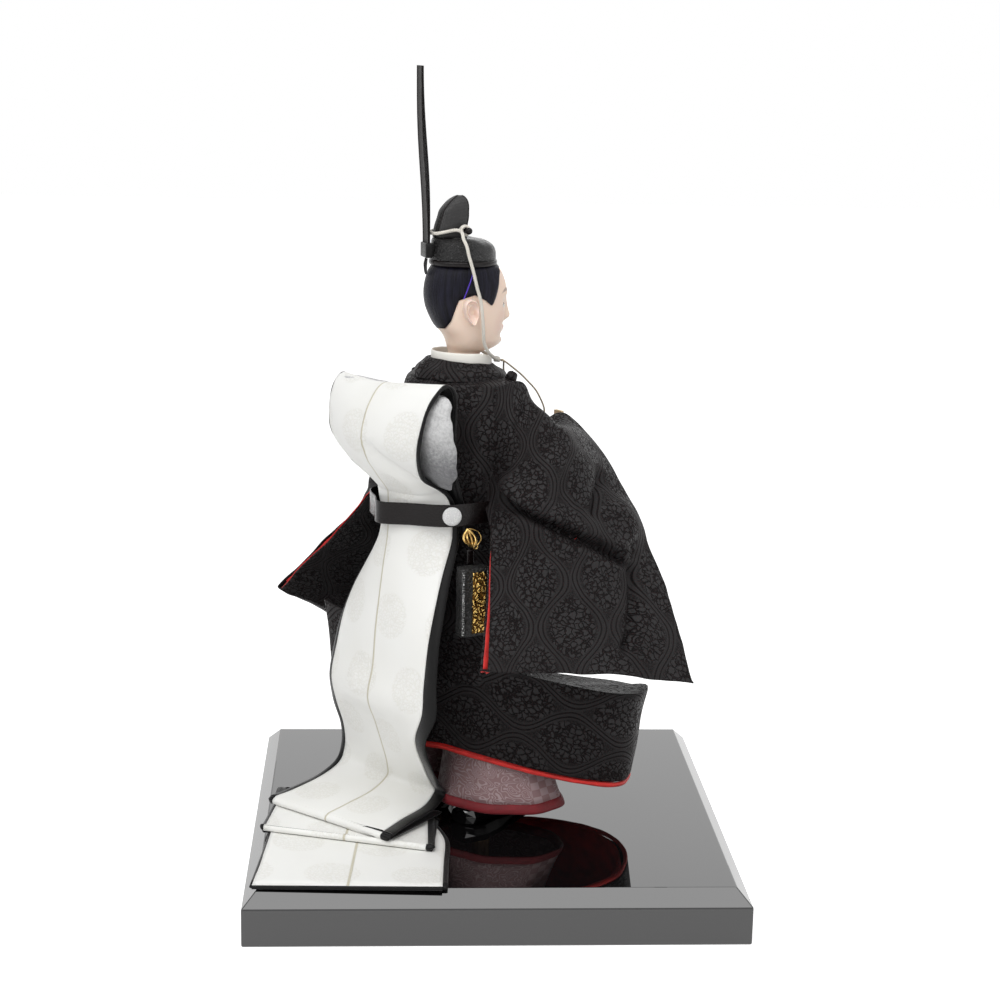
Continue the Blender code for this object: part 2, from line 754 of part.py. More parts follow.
def arm_cutter(name, sign, looks, doll):
    """Clear room around one arm and its hand, from inside the straw body to the finger tips."""
    path = arm_path(sign, CORE_HALF_WIDTH + ARM_START_GAP)
    share = np.linspace(0.0, 1.0, len(path))
    radii = ARM_RADIUS + (WRIST_RADIUS - ARM_RADIUS) * share + 2 * CLOTH_GAP
    ahead = path[-1] - path[-2]
    ahead = ahead / np.linalg.norm(ahead)
    palm = HAND_WIDTH / 2 + CLOTH_GAP
    reach = HAND_LENGTH + CUT_OVERRUN
    path = np.vstack([path, path[-1] + ahead * WRIST_RADIUS, path[-1] + ahead * reach])
    radii = np.concatenate([radii, [palm, palm]])
    return as_cutter(tube(name, path, radii, looks["damask"], doll, sides=ARM_SIDES))


def band_loop(reach, inset):
    """Plan of the hem band around the hips, pointed at its two side flaps."""
    turn = HIP_TURN - CHEST_TURN
    loop = []
    for j in range(BAND_SIDES):
        angle = 2 * math.pi * j / BAND_SIDES
        side = math.cos(angle) * reach + BAND_SHIFT
        bulge = math.copysign(abs(math.sin(angle)) ** BAND_POINT_POWER, math.sin(angle))
        leftward = max(0.0, -BAND_SLIM_START - math.cos(angle)) / (1.0 - BAND_SLIM_START)
        slim = 1.0 - BAND_LEFT_SLIM * leftward
        ahead = bulge * ((BAND_FRONT if bulge > 0.0 else BAND_BACK * slim) - inset)
        x = ahead * math.cos(turn) + side * math.sin(turn)
        y = ahead * math.sin(turn) - side * math.cos(turn)
        loop.append((x, y))
    return loop


def waist_point(point):
    """Where the band's turned-in top meets the robe's foot, straight in from a point on the band."""
    angle = math.atan2(point[1] / BODY_HALF_WIDTH, point[0] / BODY_HALF_DEPTH)
    x = BODY_FOOT_SHARE * BODY_HALF_DEPTH * math.cos(angle)
    y = BODY_FOOT_SHARE * BODY_HALF_WIDTH * math.sin(angle)
    room = (math.hypot(point[0], point[1]) - BAND_TURN_IN) / math.hypot(x, y)
    x *= min(1.0, room)
    y *= min(1.0, room)
    return x, y, band_seam(x, y)


def build_band(looks, doll):
    """The hem band below the robe, with its lining showing along the hem."""
    level_shares = ((0.0, 1.04), (0.33, 1.0), (0.66, 0.985), (1.0, 0.95))
    for name, look, thickness, inset, tip_inset, drop, extra in (
            ("hem_band", looks["damask"], ROBE_THICKNESS, 0.0, 0.0, SEAM_DROP, 0.0),
            ("hem_band_lining", looks["red"], LINING_THICKNESS, ROBE_THICKNESS + CLOTH_GAP, BAND_TIP_INSET,
             SEAM_DROP + ROBE_THICKNESS + CLOTH_GAP, BAND_LINING_SHOW)):
        rows = []
        for fall, share in level_shares:
            loop = band_loop(BAND_REACH * share - tip_inset, inset)
            depth = drop + fall * (BAND_HEIGHT + extra - drop)
            rows.append([(x, y, band_seam(x, y) - depth) for x, y in loop])
        waist = [waist_point(p) for p in rows[0]]
        waist = [(x, y, z - drop) for x, y, z in waist]
        rows.insert(0, [tuple((a + b) / 2 for a, b in zip(p, w)) for p, w in zip(rows[0], waist)])
        rows.insert(0, waist)
        sheet(name, rows[::-1], 0.0, -thickness, look, doll, closed=True)


def sleeve_tables():
    """Sleeve lines as shares, rear to mouth: the outer layer downward, then the inner layer downward."""
    outer = (
        ((-0.12, 0.345, 1.033), (-0.17, 0.372, 0.95), (-0.22, 0.395, 0.83), (-0.38, 0.51, 0.70),
         (-0.59, 0.67, 0.588), (-0.79, 0.815, 0.489)),
        ((0.17, 0.315, 1.033), (0.10, 0.44, 0.95), (-0.06, 0.54, 0.84), (-0.14, 0.64, 0.72),
         (-0.21, 0.75, 0.588), (-0.25, 0.862, 0.463)),
        ((0.34, 0.30, 0.92), (0.31, 0.385, 0.965), (0.27, 0.50, 0.93), (0.18, 0.60, 0.83),
         (0.12, 0.69, 0.72),
         (0.08, 0.79, 0.588), (0.07, 0.90, 0.445)),
        ((0.50, 0.20, 0.885), (0.42, 0.415, 0.938), (0.42, 0.53, 0.90), (0.37, 0.63, 0.83),
         (0.35, 0.715, 0.72),
         (0.35, 0.82, 0.58), (0.37, 0.931, 0.426)),
        ((0.78, 0.035, 0.882), (0.84, 0.17, 0.917), (0.87, 0.33, 0.885), (0.87, 0.50, 0.824),
         (0.91, 0.66, 0.71),
         (0.95, 0.83, 0.55), (0.96, 1.00, 0.379)))
    inner = (
        ((-0.05, 0.365, 0.85), (-0.08, 0.475, 0.728), (-0.42, 0.645, 0.588), (-0.74, 0.745, 0.462)),
        ((0.175, 0.355, 0.831), (0.18, 0.475, 0.728), (0.0, 0.645, 0.588), (-0.20, 0.80, 0.445)),
        ((0.33, 0.29, 0.86), (0.35, 0.31, 0.78), (0.32, 0.50, 0.70), (0.24, 0.69, 0.57),
         (0.12, 0.83, 0.43)),
        ((0.485, 0.185, 0.865), (0.49, 0.20, 0.787), (0.58, 0.42, 0.706), (0.475, 0.675, 0.574),
         (0.40, 0.865, 0.410)),
        ((0.70, 0.015, 0.868), (0.715, 0.01, 0.785), (0.92, 0.32, 0.691), (0.96, 0.615, 0.559),
         (0.965, 0.925, 0.365)))
    return outer, inner


def sleeve_grid(sign, drop):
    """Points of a sleeve, one line over its outer layer and back up its inner layer at each station."""
    outer, inner = sleeve_tables()
    scale = np.array([SLEEVE_FORWARD, sign * SLEEVE_REACH, SHOULDER_HEIGHT])
    lines = []
    for front, back in zip(outer, inner):
        down = smooth_path(np.array(front) * scale, SLEEVE_OUTER_POINTS)
        up = smooth_path(np.array([front[-1]] + list(back[::-1])) * scale, SLEEVE_INNER_POINTS)
        lines.append(np.concatenate([down, up[1:]]))
    lines = np.array(lines)
    grid = np.stack([smooth_path(lines[:, j], SLEEVE_STATIONS) for j in range(lines.shape[1])], axis=1)
    along = np.linspace(0.0, 1.0, grid.shape[0])[:, None]
    low = SLEEVE_DROP_TOP_SHARE - grid[:, :, 2] / SHOULDER_HEIGHT
    low = np.clip(low / SLEEVE_DROP_RUN_SHARE, 0.0, 1.0)
    grid[:, :, 2] -= drop * along * low
    middle = grid.mean(axis=(0, 1))
    if float(((grid - middle) * grid_normals(grid, False)).sum()) < 0.0:
        grid = grid[:, ::-1]
    return grid


def build_sleeves(looks, doll):
    """Wide sleeves of two layers, open along the underarm, each with a red lining."""
    inside = -ROBE_THICKNESS - CLOTH_GAP
    for side, sign, drop in (("right", -1.0, 0.0), ("left", 1.0, LEFT_SLEEVE_DROP)):
        grid = sleeve_grid(sign, drop)
        sheet("sleeve_" + side, grid, 0.0, -ROBE_THICKNESS, looks["damask"], doll)
        sheet("sleeve_lining_" + side, grid, inside, inside - LINING_THICKNESS, looks["red"], doll)


def build_collars(looks, doll):
    """The white inner collar, the robe's standing round collar and its knot."""
    centre = -COLLAR_BACK_SHARE * BODY_HALF_DEPTH
    foot = NECK_HEIGHT - YOKE_DROP + YOKE_SEAT
    def loop(radius, height, slope):
        ring = ellipse_ring((centre, 0.0), radius, radius, height)
        return [(x, y, z - slope * (x - centre)) for x, y, z in ring]
    white = WHITE_COLLAR_RADIUS
    ring_solid("inner_collar", [loop(white, foot, 0.0), loop(white, CHIN_HEIGHT - COLLAR_CLEARANCE, 0.0),
                                loop(white - COLLAR_WALL, CHIN_HEIGHT - COLLAR_CLEARANCE, 0.0),
                                loop(white - COLLAR_WALL, foot, 0.0)], looks["white_silk"], doll)
    black = white + CLOTH_GAP
    head = foot + BLACK_COLLAR_HEIGHT
    ring_solid("robe_collar", [loop(black + BLACK_COLLAR_FLARE, foot, 0.0),
                               loop(black + COLLAR_WALL, head, COLLAR_SLOPE),
                               loop(black, head, COLLAR_SLOPE), loop(black, foot, 0.0)],
               looks["damask"], doll)
    place = (KNOT_SHARES[0] * BODY_HALF_DEPTH, -KNOT_SHARES[1] * BODY_HALF_WIDTH)
    shares = ((0.35, -1.0), (0.80, -0.7), (1.0, 0.0), (0.75, 0.7), (0.25, 1.0))
    turned("collar_knot", [(r * KNOT_RADIUS, KNOT_HEIGHT + h * KNOT_RADIUS) for r, h in shares], place,
           looks["damask"], doll, KNOT_SIDES)


# Trousers

def build_trousers(looks, doll):
    """Wide white trouser legs with a red band at each hem."""
    turn = HIP_TURN - CHEST_TURN - math.pi / 2
    for side, place, wide, deep in (
            ("right", RIGHT_TROUSER_PLACE, RIGHT_TROUSER_HALF_WIDTH, RIGHT_TROUSER_HALF_DEPTH),
            ("left", LEFT_TROUSER_PLACE, LEFT_TROUSER_HALF_WIDTH, LEFT_TROUSER_HALF_DEPTH)):
        foot = chest_from_board(*place)
        leg = leg_places()[side]
        def ring(height, grow):
            rise = (height - HEM_HEIGHT) / (TROUSER_TOP - HEM_HEIGHT)
            share = 1.0 - TROUSER_TAPER_SHARE * max(0.0, rise) ** TROUSER_TAPER_POWER
            x = foot[0] + (leg[0] - foot[0]) * rise
            y = foot[1] + (leg[1] * TROUSER_CLOSE_SHARE - foot[1]) * rise
            return ellipse_ring((x, y), wide * share + grow, deep * share + grow, height, CLOTH_SIDES, turn)
        levels = [HEM_HEIGHT + TROUSER_BAND + FIT_GAP]
        levels += [levels[0] + (TROUSER_TOP - levels[0]) * share for share in (0.33, 0.67, 1.0)]
        rows = [ring(height, 0.0) for height in levels]
        sheet("hakama_" + side, rows, 0.0, -ROBE_THICKNESS, looks["pale_damask"], doll, closed=True)
        rows = [ring(HEM_HEIGHT, 0.0), ring(HEM_HEIGHT + TROUSER_BAND, 0.0)]
        sheet("hakama_hem_" + side, rows, 0.0, -ROBE_THICKNESS, looks["dark_red"], doll, closed=True)


# Train

def train_row(left, middle, right):
    """Points across the train through its two edges and its seam."""
    left, middle, right = (np.array(p, float) for p in (left, middle, right))
    row = []
    for t in np.linspace(-1.0, 1.0, TRAIN_COLUMNS):
        row.append(left * t * (t - 1) / 2 + middle * (1 - t * t) + right * t * (t + 1) / 2)
    return row


def body_rows():
    """The train above the floor, from the belt up, over and down, in the doll's frame."""
    # side depth, seam depth, half width, height, as shares of back, width and loop height
    stations = (
        (0.45, 0.56, 0.58, 0.680), (0.46, 0.565, 0.60, 0.740), (0.53, 0.60, 0.66, 0.82),
        (0.64, 0.66, 0.80, 0.90), (0.70, 0.74, 0.90, 0.965), (0.76, 0.82, 0.93, 0.992),
        (0.84, 0.92, 0.93, 1.00), (0.93, 1.02, 0.92, 0.985), (1.02, 1.13, 0.86, 0.94),
        (1.03, 1.16, 0.77, 0.88), (0.88, 1.00, 0.62, 0.82), (0.67, 0.87, 0.57, 0.780),
        (0.59, 0.855, 0.59, 0.760), (0.58, 0.865, 0.60, 0.680), (0.70, 0.92, 0.70, 0.60),
        (0.86, 0.98, 0.84, 0.48), (0.93, 1.01, 0.90, 0.38), (0.97, 1.07, 0.93, 0.31))
    rows = []
    for side, seam, wide, rise in stations:
        half = wide * TRAIN_HALF_WIDTH
        height = rise * TRAIN_LOOP_TOP
        rows.append(((-side * TRAIN_BACK, half, height), (-seam * TRAIN_BACK, 0.0, height),
                     (-side * TRAIN_BACK, -half, height)))
    return rows


def floor_rows():
    """The train on the board, folded over twice, from its landing to its hem, in the doll's frame."""
    # left x, left y, right x, right y on the board as shares of half its width, then the layer
    stations = (
        ((-0.66, 0.04), (-0.31, -0.52), 27.0), ((-0.63, 0.09), (-0.28, -0.46), 19.0),
        ((-0.62, 0.12), (-0.25, -0.34), 12.5), ((-0.64, 0.11), (-0.23, -0.24), 8.0),
        ((-0.72, 0.03), (-0.28, -0.32), 5.4), ((-0.84, -0.10), (-0.38, -0.44), 4.5),
        ((-0.905, -0.16), (-0.45, -0.55), 4.5))
    rows = []
    for left, right, layer in stations:
        rows.append((left, right, layer * TRAIN_PITCH))
    folds = (
        ((-0.91, -0.165), (-0.455, -0.557), 4.5, 3.5, 1.0),
        ((-0.88, -0.03), (-0.26, -0.30), 3.5, 2.5, -1.0),
        ((-0.94, -0.397), (-0.275, -0.613), 2.5, 1.5, 1.0),
        ((-0.88, -0.14), (-0.24, -0.30), 1.5, 0.5, -1.0))
    for left, right, start, end, ahead in folds:
        rows += hairpin(left, right, start, end, ahead)
    rows.append(((-0.905, -0.30), (-0.20, -0.50), 0.5 * TRAIN_PITCH))
    rows.append(((-0.93, -0.62), (-0.21, -0.74), 0.5 * TRAIN_PITCH))
    rows.append(((-0.96, -0.945), (-0.22, -0.965), 0.5 * TRAIN_PITCH))
    scale = BOARD_WIDTH / 2
    made = []
    for left, right, height in rows:
        left = chest_from_board(left[0] * scale, left[1] * scale)
        right = chest_from_board(right[0] * scale, right[1] * scale)
        middle = ((left[0] + right[0]) / 2, (left[1] + right[1]) / 2)
        base = height + TRAIN_LINING_THICKNESS / 2
        made.append(((*left, base), (*middle, base), (*right, base)))
    return made


def hairpin(left, right, start, end, ahead):
    """Rows round one fold, from one layer down to the next."""
    left = np.array(left)
    right = np.array(right)
    along = right - left
    way = np.array([along[1], -along[0]])
    way = way / np.linalg.norm(way) * ahead
    middle = (start + end) / 2 * TRAIN_PITCH
    radius = (start - end) / 2 * TRAIN_PITCH
    reach = radius / (BOARD_WIDTH / 2)
    rows = []
    for degrees in (90, 0, -90):
        angle = math.radians(degrees)
        shift = way * reach * math.cos(angle)
        rows.append((tuple(left + shift), tuple(right + shift), middle + radius * math.sin(angle)))
    return rows


def train_grid():
    """All rows of the train's middle surface."""
    rows = [train_row(*row) for row in body_rows() + floor_rows()]
    return np.array(rows)


def build_train(looks, doll):
    """White silk train over a black satin lining, and the wadding in its upper fold."""
    grid = train_grid()
    step = FIT_GAP / 2
    sheet("train_face", grid, -step, -step - TRAIN_FACE_THICKNESS, looks["white_silk"], doll)
    first = grid[:, 0] - grid[:, 1]
    last = grid[:, -1] - grid[:, -2]
    first /= np.linalg.norm(first, axis=1, keepdims=True)
    last /= np.linalg.norm(last, axis=1, keepdims=True)
    wide = np.concatenate([(grid[:, 0] + first * TRAIN_PIPING)[:, None], grid,
                           (grid[:, -1] + last * TRAIN_PIPING)[:, None]], axis=1)
    sheet("train_lining", wide, step + TRAIN_LINING_THICKNESS, step, looks["satin"], doll)
    build_wadding(looks, doll)


def build_wadding(looks, doll):
    """Cotton wadding that holds the train's upper fold open."""
    shares = ((0.80, 0.66, 0.05, 0.55), (0.84, 0.76, 0.10, 0.70), (0.89, 0.82, 0.15, 0.78),
              (0.94, 0.83, 0.10, 0.80), (0.965, 0.82, 0.04, 0.60))
    rings = []
    for rise, depth, thick, wide in shares:
        rings.append(ellipse_ring((-depth * TRAIN_BACK, 0.0), thick * TRAIN_BACK, wide * TRAIN_HALF_WIDTH,
                                  rise * TRAIN_LOOP_TOP))
    loft("fold_wadding", rings, looks["cotton"], doll)


# Belt and what hangs from it

def belt_loop(grow):
    """Plan of the belt around the body and the train."""
    front = BODY_HALF_DEPTH + 2 * CLOTH_GAP
    wide = BODY_HALF_WIDTH + 2 * CLOTH_GAP
    back = BELT_BACK_SHARE * TRAIN_BACK
    corner = (BELT_CORNER_SHARES[0] * TRAIN_BACK, BELT_CORNER_SHARES[1] * TRAIN_HALF_WIDTH)
    front_shares = ((1.0, 0.0), (0.80, 0.60), (0.30, 0.96), (-0.35, 1.0))
    side_share = 1.06
    back_shares = ((-0.86, 0.42), (-1.0, 0.0))
    half = [(x * front, y * wide) for x, y in front_shares]
    half += [(-corner[0], corner[1] * side_share)]
    half += [(x * back, y * corner[1]) for x, y in back_shares]
    whole = half + [(x, -y) for x, y in half[-2:0:-1]]
    closed = smooth_closed(whole, BELT_POINTS)
    normal = np.roll(closed, -1, axis=0) - np.roll(closed, 1, axis=0)
    normal = np.stack([normal[:, 1], -normal[:, 0]], axis=1)
    normal /= np.linalg.norm(normal, axis=1, keepdims=True)
    if float((normal * closed).sum()) < 0.0:
        normal = -normal
    return closed + normal * grow


def smooth_closed(points, count):
    """Evenly spaced points on a closed smooth curve."""
    points = [tuple(p) for p in points]
    looped = points[-3:] + points + points[:3]
    dense = smooth_path(looped, FINE_STEPS * len(looped))
    start = np.argmin(np.linalg.norm(dense[:len(dense) // 2] - np.array(points[0]), axis=1))
    tail = dense[len(dense) // 2:]
    end = len(dense) // 2 + np.argmin(np.linalg.norm(tail - np.array(points[0]), axis=1))
    ring = dense[start:end]
    run = np.concatenate([[0.0], np.cumsum(np.linalg.norm(np.diff(ring, axis=0), axis=1))])
    wanted = np.linspace(0.0, run[-1], count, endpoint=False)
    return np.stack([np.interp(wanted, run, ring[:, axis]) for axis in range(2)], axis=1)


def belt_spot(angle, grow):
    """A place on the belt seen from the doll's axis at an angle, and the way out from it."""
    loop = belt_loop(grow)
    angles = np.arctan2(loop[:, 1], loop[:, 0])
    best = int(np.argmin(np.abs((angles - angle + math.pi) % (2 * math.pi) - math.pi)))
    before = loop[(best - 1) % len(loop)]
    after = loop[(best + 1) % len(loop)]
    along = after - before
    out = np.array([along[1], -along[0]])
    out /= np.linalg.norm(out)
    if float(np.dot(out, loop[best])) < 0.0:
        out = -out
    return loop[best], out


def belt_level(y):
    """Height of the belt's middle line, a little higher on the doll's right."""
    return BELT_HEIGHT - BELT_TILT_SHARE * y


def build_belt(looks, doll):
    """The glossy leather belt, its stones and its eyelet."""
    outer = belt_loop(BELT_THICKNESS)
    inner = belt_loop(0.0)
    half = BELT_WIDTH / 2
    loops = [[(x, y, belt_level(y) + side * half) for x, y in loop]
             for loop, side in ((outer, -1), (outer, 1), (inner, 1), (inner, -1))]
    ring_solid("belt", loops, looks["leather"], doll)
    for side, sign in (("right", -1.0), ("left", 1.0)):
        angle = LEFT_STONE_ANGLE if sign > 0.0 else -STONE_ANGLE
        disc("belt_stone_" + side, angle, STONE_RADIUS, STONE_THICKNESS, looks["stone"], doll)
    disc("belt_eyelet", EYELET_ANGLE, EYELET_RADIUS, STONE_THICKNESS / 2, looks["gold"], doll)


def disc(name, angle, radius, thickness, look, doll):
    """A domed disc on the belt's outer face."""
    place, out = belt_spot(angle, BELT_THICKNESS)
    side = np.array([-out[1], out[0]])
    rings = []
    for rise, share in ((0.0, 1.0), (DISC_DOME_SHARE, 1.0), (1.0, DISC_DOME_SHARE)):
        step = FIT_GAP + thickness * rise
        ring = []
        for i in range(DISC_SIDES):
            angle = 2 * math.pi * i / DISC_SIDES
            flat = place + out * step + side * math.cos(angle) * radius * share
            ring.append((flat[0], flat[1], belt_level(place[1]) + math.sin(angle) * radius * share))
        rings.append(ring)
    loft(name, rings, look, doll)


def build_hip_case(looks, doll):
    """The hip case hanging on its strap from the belt, with its gilt mounts."""
    place, out = belt_spot(CASE_ANGLE, BELT_THICKNESS)
    turn = math.atan2(out[1], out[0])
    low = belt_level(place[1]) - BELT_WIDTH / 2
    pivot = empty("case_pivot", (place[0] + out[0] * FIT_GAP, place[1] + out[1] * FIT_GAP, low), turn, doll)
    hang = CASE_STAND + CASE_DEPTH / 2
    ring = []
    for angle in np.linspace(LOOP_START, LOOP_END, LOOP_STEPS):
        ring.append((LOOP_STAND, math.cos(angle) * LOOP_HALF_WIDTH,
                     -LOOP_WIRE - FIT_GAP - LOOP_HALF_HEIGHT * (1.0 - math.sin(angle))))
    tube("gilt_loop", ring, LOOP_WIRE, looks["gold"], pivot, sides=LOOP_SIDES)
    strap_top = -2 * LOOP_HALF_HEIGHT - 2 * LOOP_WIRE - 2 * FIT_GAP
    strap_low = -CASE_DROP + FIT_GAP
    slab("case_strap", (STRAP_STAND, 0.0, (strap_top + strap_low) / 2),
         (STRAP_THICKNESS, STRAP_WIDTH, strap_top - strap_low), 0.0, looks["leather"], pivot)
    middle = -CASE_DROP - CASE_HEIGHT / 2
    case = slab("hip_case", (hang, 0.0, middle), (CASE_DEPTH, CASE_WIDTH, CASE_HEIGHT), 0.0,
                looks["shagreen"], pivot)
    bevel = case.modifiers.new("edges", "BEVEL")
    bevel.width = CASE_BEVEL
    bevel.segments = 2
    slab("case_mount", (CASE_STAND + CASE_DEPTH + FIT_GAP + MOUNT_DEPTH / 2, 0.0, middle),
         (MOUNT_DEPTH, MOUNT_WIDTH, MOUNT_HEIGHT), 0.0, looks["gold"], pivot)


# Head and cap

def head_spot(angle, height, grow):
    """A point of the head's surface at an angle from straight ahead, grown outward."""
    # height share above the chin, then front, back and side as shares of the half sizes
    shares = (
        (-0.14, 0.37, 0.39, 0.55), (-0.03, 0.40, 0.39, 0.56), (0.00, 0.69, 0.40, 0.62),
        (0.04, 0.85, 0.43, 0.71),
        (0.09, 0.91, 0.46, 0.80), (0.15, 0.90, 0.53, 0.87), (0.213, 0.925, 0.65, 0.92),
        (0.275, 0.94, 0.73, 0.95),
        (0.367, 0.985, 0.80, 0.98), (0.467, 1.015, 0.86, 1.0), (0.555, 1.035, 0.89, 1.0),
        (0.65, 1.01, 0.886, 0.99),
        (0.733, 0.957, 0.855, 0.97), (0.813, 0.865, 0.80, 0.93), (0.867, 0.54, 0.66, 0.85),
        (0.905, 0.53, 0.63, 0.83),
        (0.942, 0.40, 0.46, 0.58), (1.0, 0.38, 0.44, 0.55))
    rise = (height - CHIN_HEIGHT) / HEAD_HEIGHT
    levels = [row[0] for row in shares]
    front, back, wide = (np.interp(rise, levels, [row[i] for row in shares]) for i in (1, 2, 3))
    deep = front if math.cos(angle) > 0.0 else back
    x = (deep * HEAD_HALF_LENGTH + grow) * math.cos(angle)
    y = (wide * HEAD_HALF_WIDTH + grow) * math.sin(angle)
    return x, y, height


def face_relief(angle, height):
    """How far the face stands out at an angle and height: nose, lips and eye hollows."""
    if math.cos(angle) < FACE_START_SHARE:
        return 0.0
    stand = 0.0
    for size, middle, spread, level, tall in FACE_FEATURES:
        stand += size * math.exp(-((angle - middle) / spread) ** 2 - ((height - level) / tall) ** 2)
    return stand


def head_angles():
    """Angles of a head ring, closer together over the face."""
    near = np.linspace(-60.0, 60.0, 17)
    far = np.linspace(76.0, 284.0, 13)
    return np.radians(np.concatenate([near, far]))


def build_head(looks, head):
    """Carved head with ears, its neck, and the wooden peg under it."""
    angles = head_angles()
    rings = []
    for height in HEAD_LEVELS:
        rings.append([head_spot(angle, height, face_relief(angle, height)) for angle in angles])
    skull = loft("head", rings, looks["gofun"], head)
    for side, sign in (("right", -1.0), ("left", 1.0)):
        combine(skull, build_ear(side, sign, looks, head), "UNION")
    cylinder("neck_peg", (0.0, 0.0), PEG_RADIUS, NECK_HEIGHT - PEG_LENGTH, NECK_FOOT - FIT_GAP,
             looks["wood"],
             head, PEG_SIDES)


def build_ear(side, sign, looks, head):
    """A shell-shaped ear that is joined to the head."""
    rings = []
    stand_shares = ((-0.6, 0.55), (0.1, 0.80), (0.7, 1.0), (1.0, 0.86))
    for stand, share in stand_shares:
        ring = []
        for i in range(EAR_SIDES):
            angle = 2 * math.pi * i / EAR_SIDES
            tall = math.sin(angle) * share * EAR_LENGTH / 2
            wide = math.cos(angle) * share * EAR_WIDTH / 2
            lobe = 1.0 + EAR_LOBE_SHARE * math.sin(angle)
            back = EAR_TILT_SHARE * tall + EAR_SWEEP_SHARE * stand * EAR_STAND
            ring.append((EAR_FORWARD + wide * lobe - back,
                         sign * (EAR_SIDE_SHARE * HEAD_HALF_WIDTH + stand * EAR_STAND), EAR_HEIGHT + tall))
        rings.append(ring)
    return as_cutter(loft("join_ear_" + side, rings, looks["gofun"], head))


def cup(name, outer, inner, look, parent=None):
    """A shell that is closed above and open below, from rings that run upward."""
    count = len(outer[0])
    rings = outer + inner
    points = [p for ring in rings for p in ring]
    faces = []
    for first, step in ((0, 1), (len(outer), -1)):
        for i in range(len(outer) - 1):
            low = (first + i) * count
            high = low + count
            for j in range(count):
                k = (j + 1) % count
                quad = (low + j, low + k, high + k, high + j)
                faces.append(quad if step > 0 else tuple(reversed(quad)))
    last = (len(outer) - 1) * count
    faces.append(tuple(range(last, last + count)))
    end = (len(rings) - 1) * count
    faces.append(tuple(reversed(range(end, end + count))))
    foot = len(outer) * count
    for j in range(count):
        k = (j + 1) % count
        faces.append((k, j, foot + j, foot + k))
    return mesh_object(name, points, faces, look, parent)


def hairline(angle):
    """Height of the hair's lower edge at an angle from straight ahead."""
    turn = abs((math.degrees(angle) + 180.0) % 360.0 - 180.0)
    return float(np.interp(turn, HAIRLINE_DEGREES, HAIRLINE_HEIGHTS))


def build_hair(looks, head):
    """The hair as one shell round the skull, and the thread tied round it."""
    angles = head_angles()
    layers = []
    for grow, top in ((HAIR_GAP + HAIR_THICKNESS, HAIR_TOP), (HAIR_GAP, SKULL_TOP + HAIR_GAP)):
        rows = []
        for step in range(len(HAIR_RISE_SHARES) + len(HAIR_SHOULDER_HEIGHTS) + 1):
            ring = []
            for angle in angles:
                low = hairline(angle)
                brow = max(BROW_HEIGHT, low + BROW_GAP)
                heights = [low + (brow - low) * share for share in HAIR_RISE_SHARES]
                heights += [*HAIR_SHOULDER_HEIGHTS, top]
                edge = HAIR_EDGE_SHARE if step == 0 else 1.0
                ring.append(head_spot(angle, heights[step], HAIR_GAP + (grow - HAIR_GAP) * edge))
            rows.append(ring)
        layers.append(rows)
    cup("hair", layers[0], layers[1], looks["hair"], head)


def build_cap(looks, head):
    """The crown: its rim, bowl, upright koji with its pin, the tail holder and the two tail leaves."""
    centre = (CAP_CENTRE, 0.0)
    low = CAP_FOOT - FIT_GAP - RIM_HEIGHT
    high = CAP_FOOT - FIT_GAP
    ring_solid("cap_rim", [ellipse_ring(centre, RIM_RADIUS, RIM_RADIUS, low),
                           ellipse_ring(centre, RIM_RADIUS, RIM_RADIUS, high),
                           ellipse_ring(centre, RIM_INNER, RIM_INNER, high),
                           ellipse_ring(centre, RIM_INNER, RIM_INNER, low)], looks["cap_black"], head)
    shares = ((0.0, 1.0, 1.0, 1.0), (0.46, 0.97, 0.985, 0.99), (0.72, 0.86, 0.98, 0.96),
              (0.90, 0.62, 0.96, 0.86),
              (1.0, 0.30, 0.93, 0.72))
    outer = []
    inner = []
    for rise, front, back, wide in shares:
        rows = []
        for wall, roof in ((0.0, CAP_TOP), (CAP_WALL, CAP_TOP - CAP_WALL)):
            ring = []
            for i in range(ROUND_SIDES):
                angle = 2 * math.pi * i / ROUND_SIDES
                deep = front if math.cos(angle) > 0.0 else back
                ring.append((CAP_CENTRE + (deep * CAP_RADIUS - wall) * math.cos(angle),
                             (wide * CAP_RADIUS - wall) * math.sin(angle),
                             CAP_FOOT + rise * (roof - CAP_FOOT)))
            rows.append(ring)
        outer.append(rows[0])
        inner.append(rows[1])
    cup("cap_bowl", outer, inner, looks["cap_black"], head)
    build_koji(looks, head)
    build_ei(looks, head)


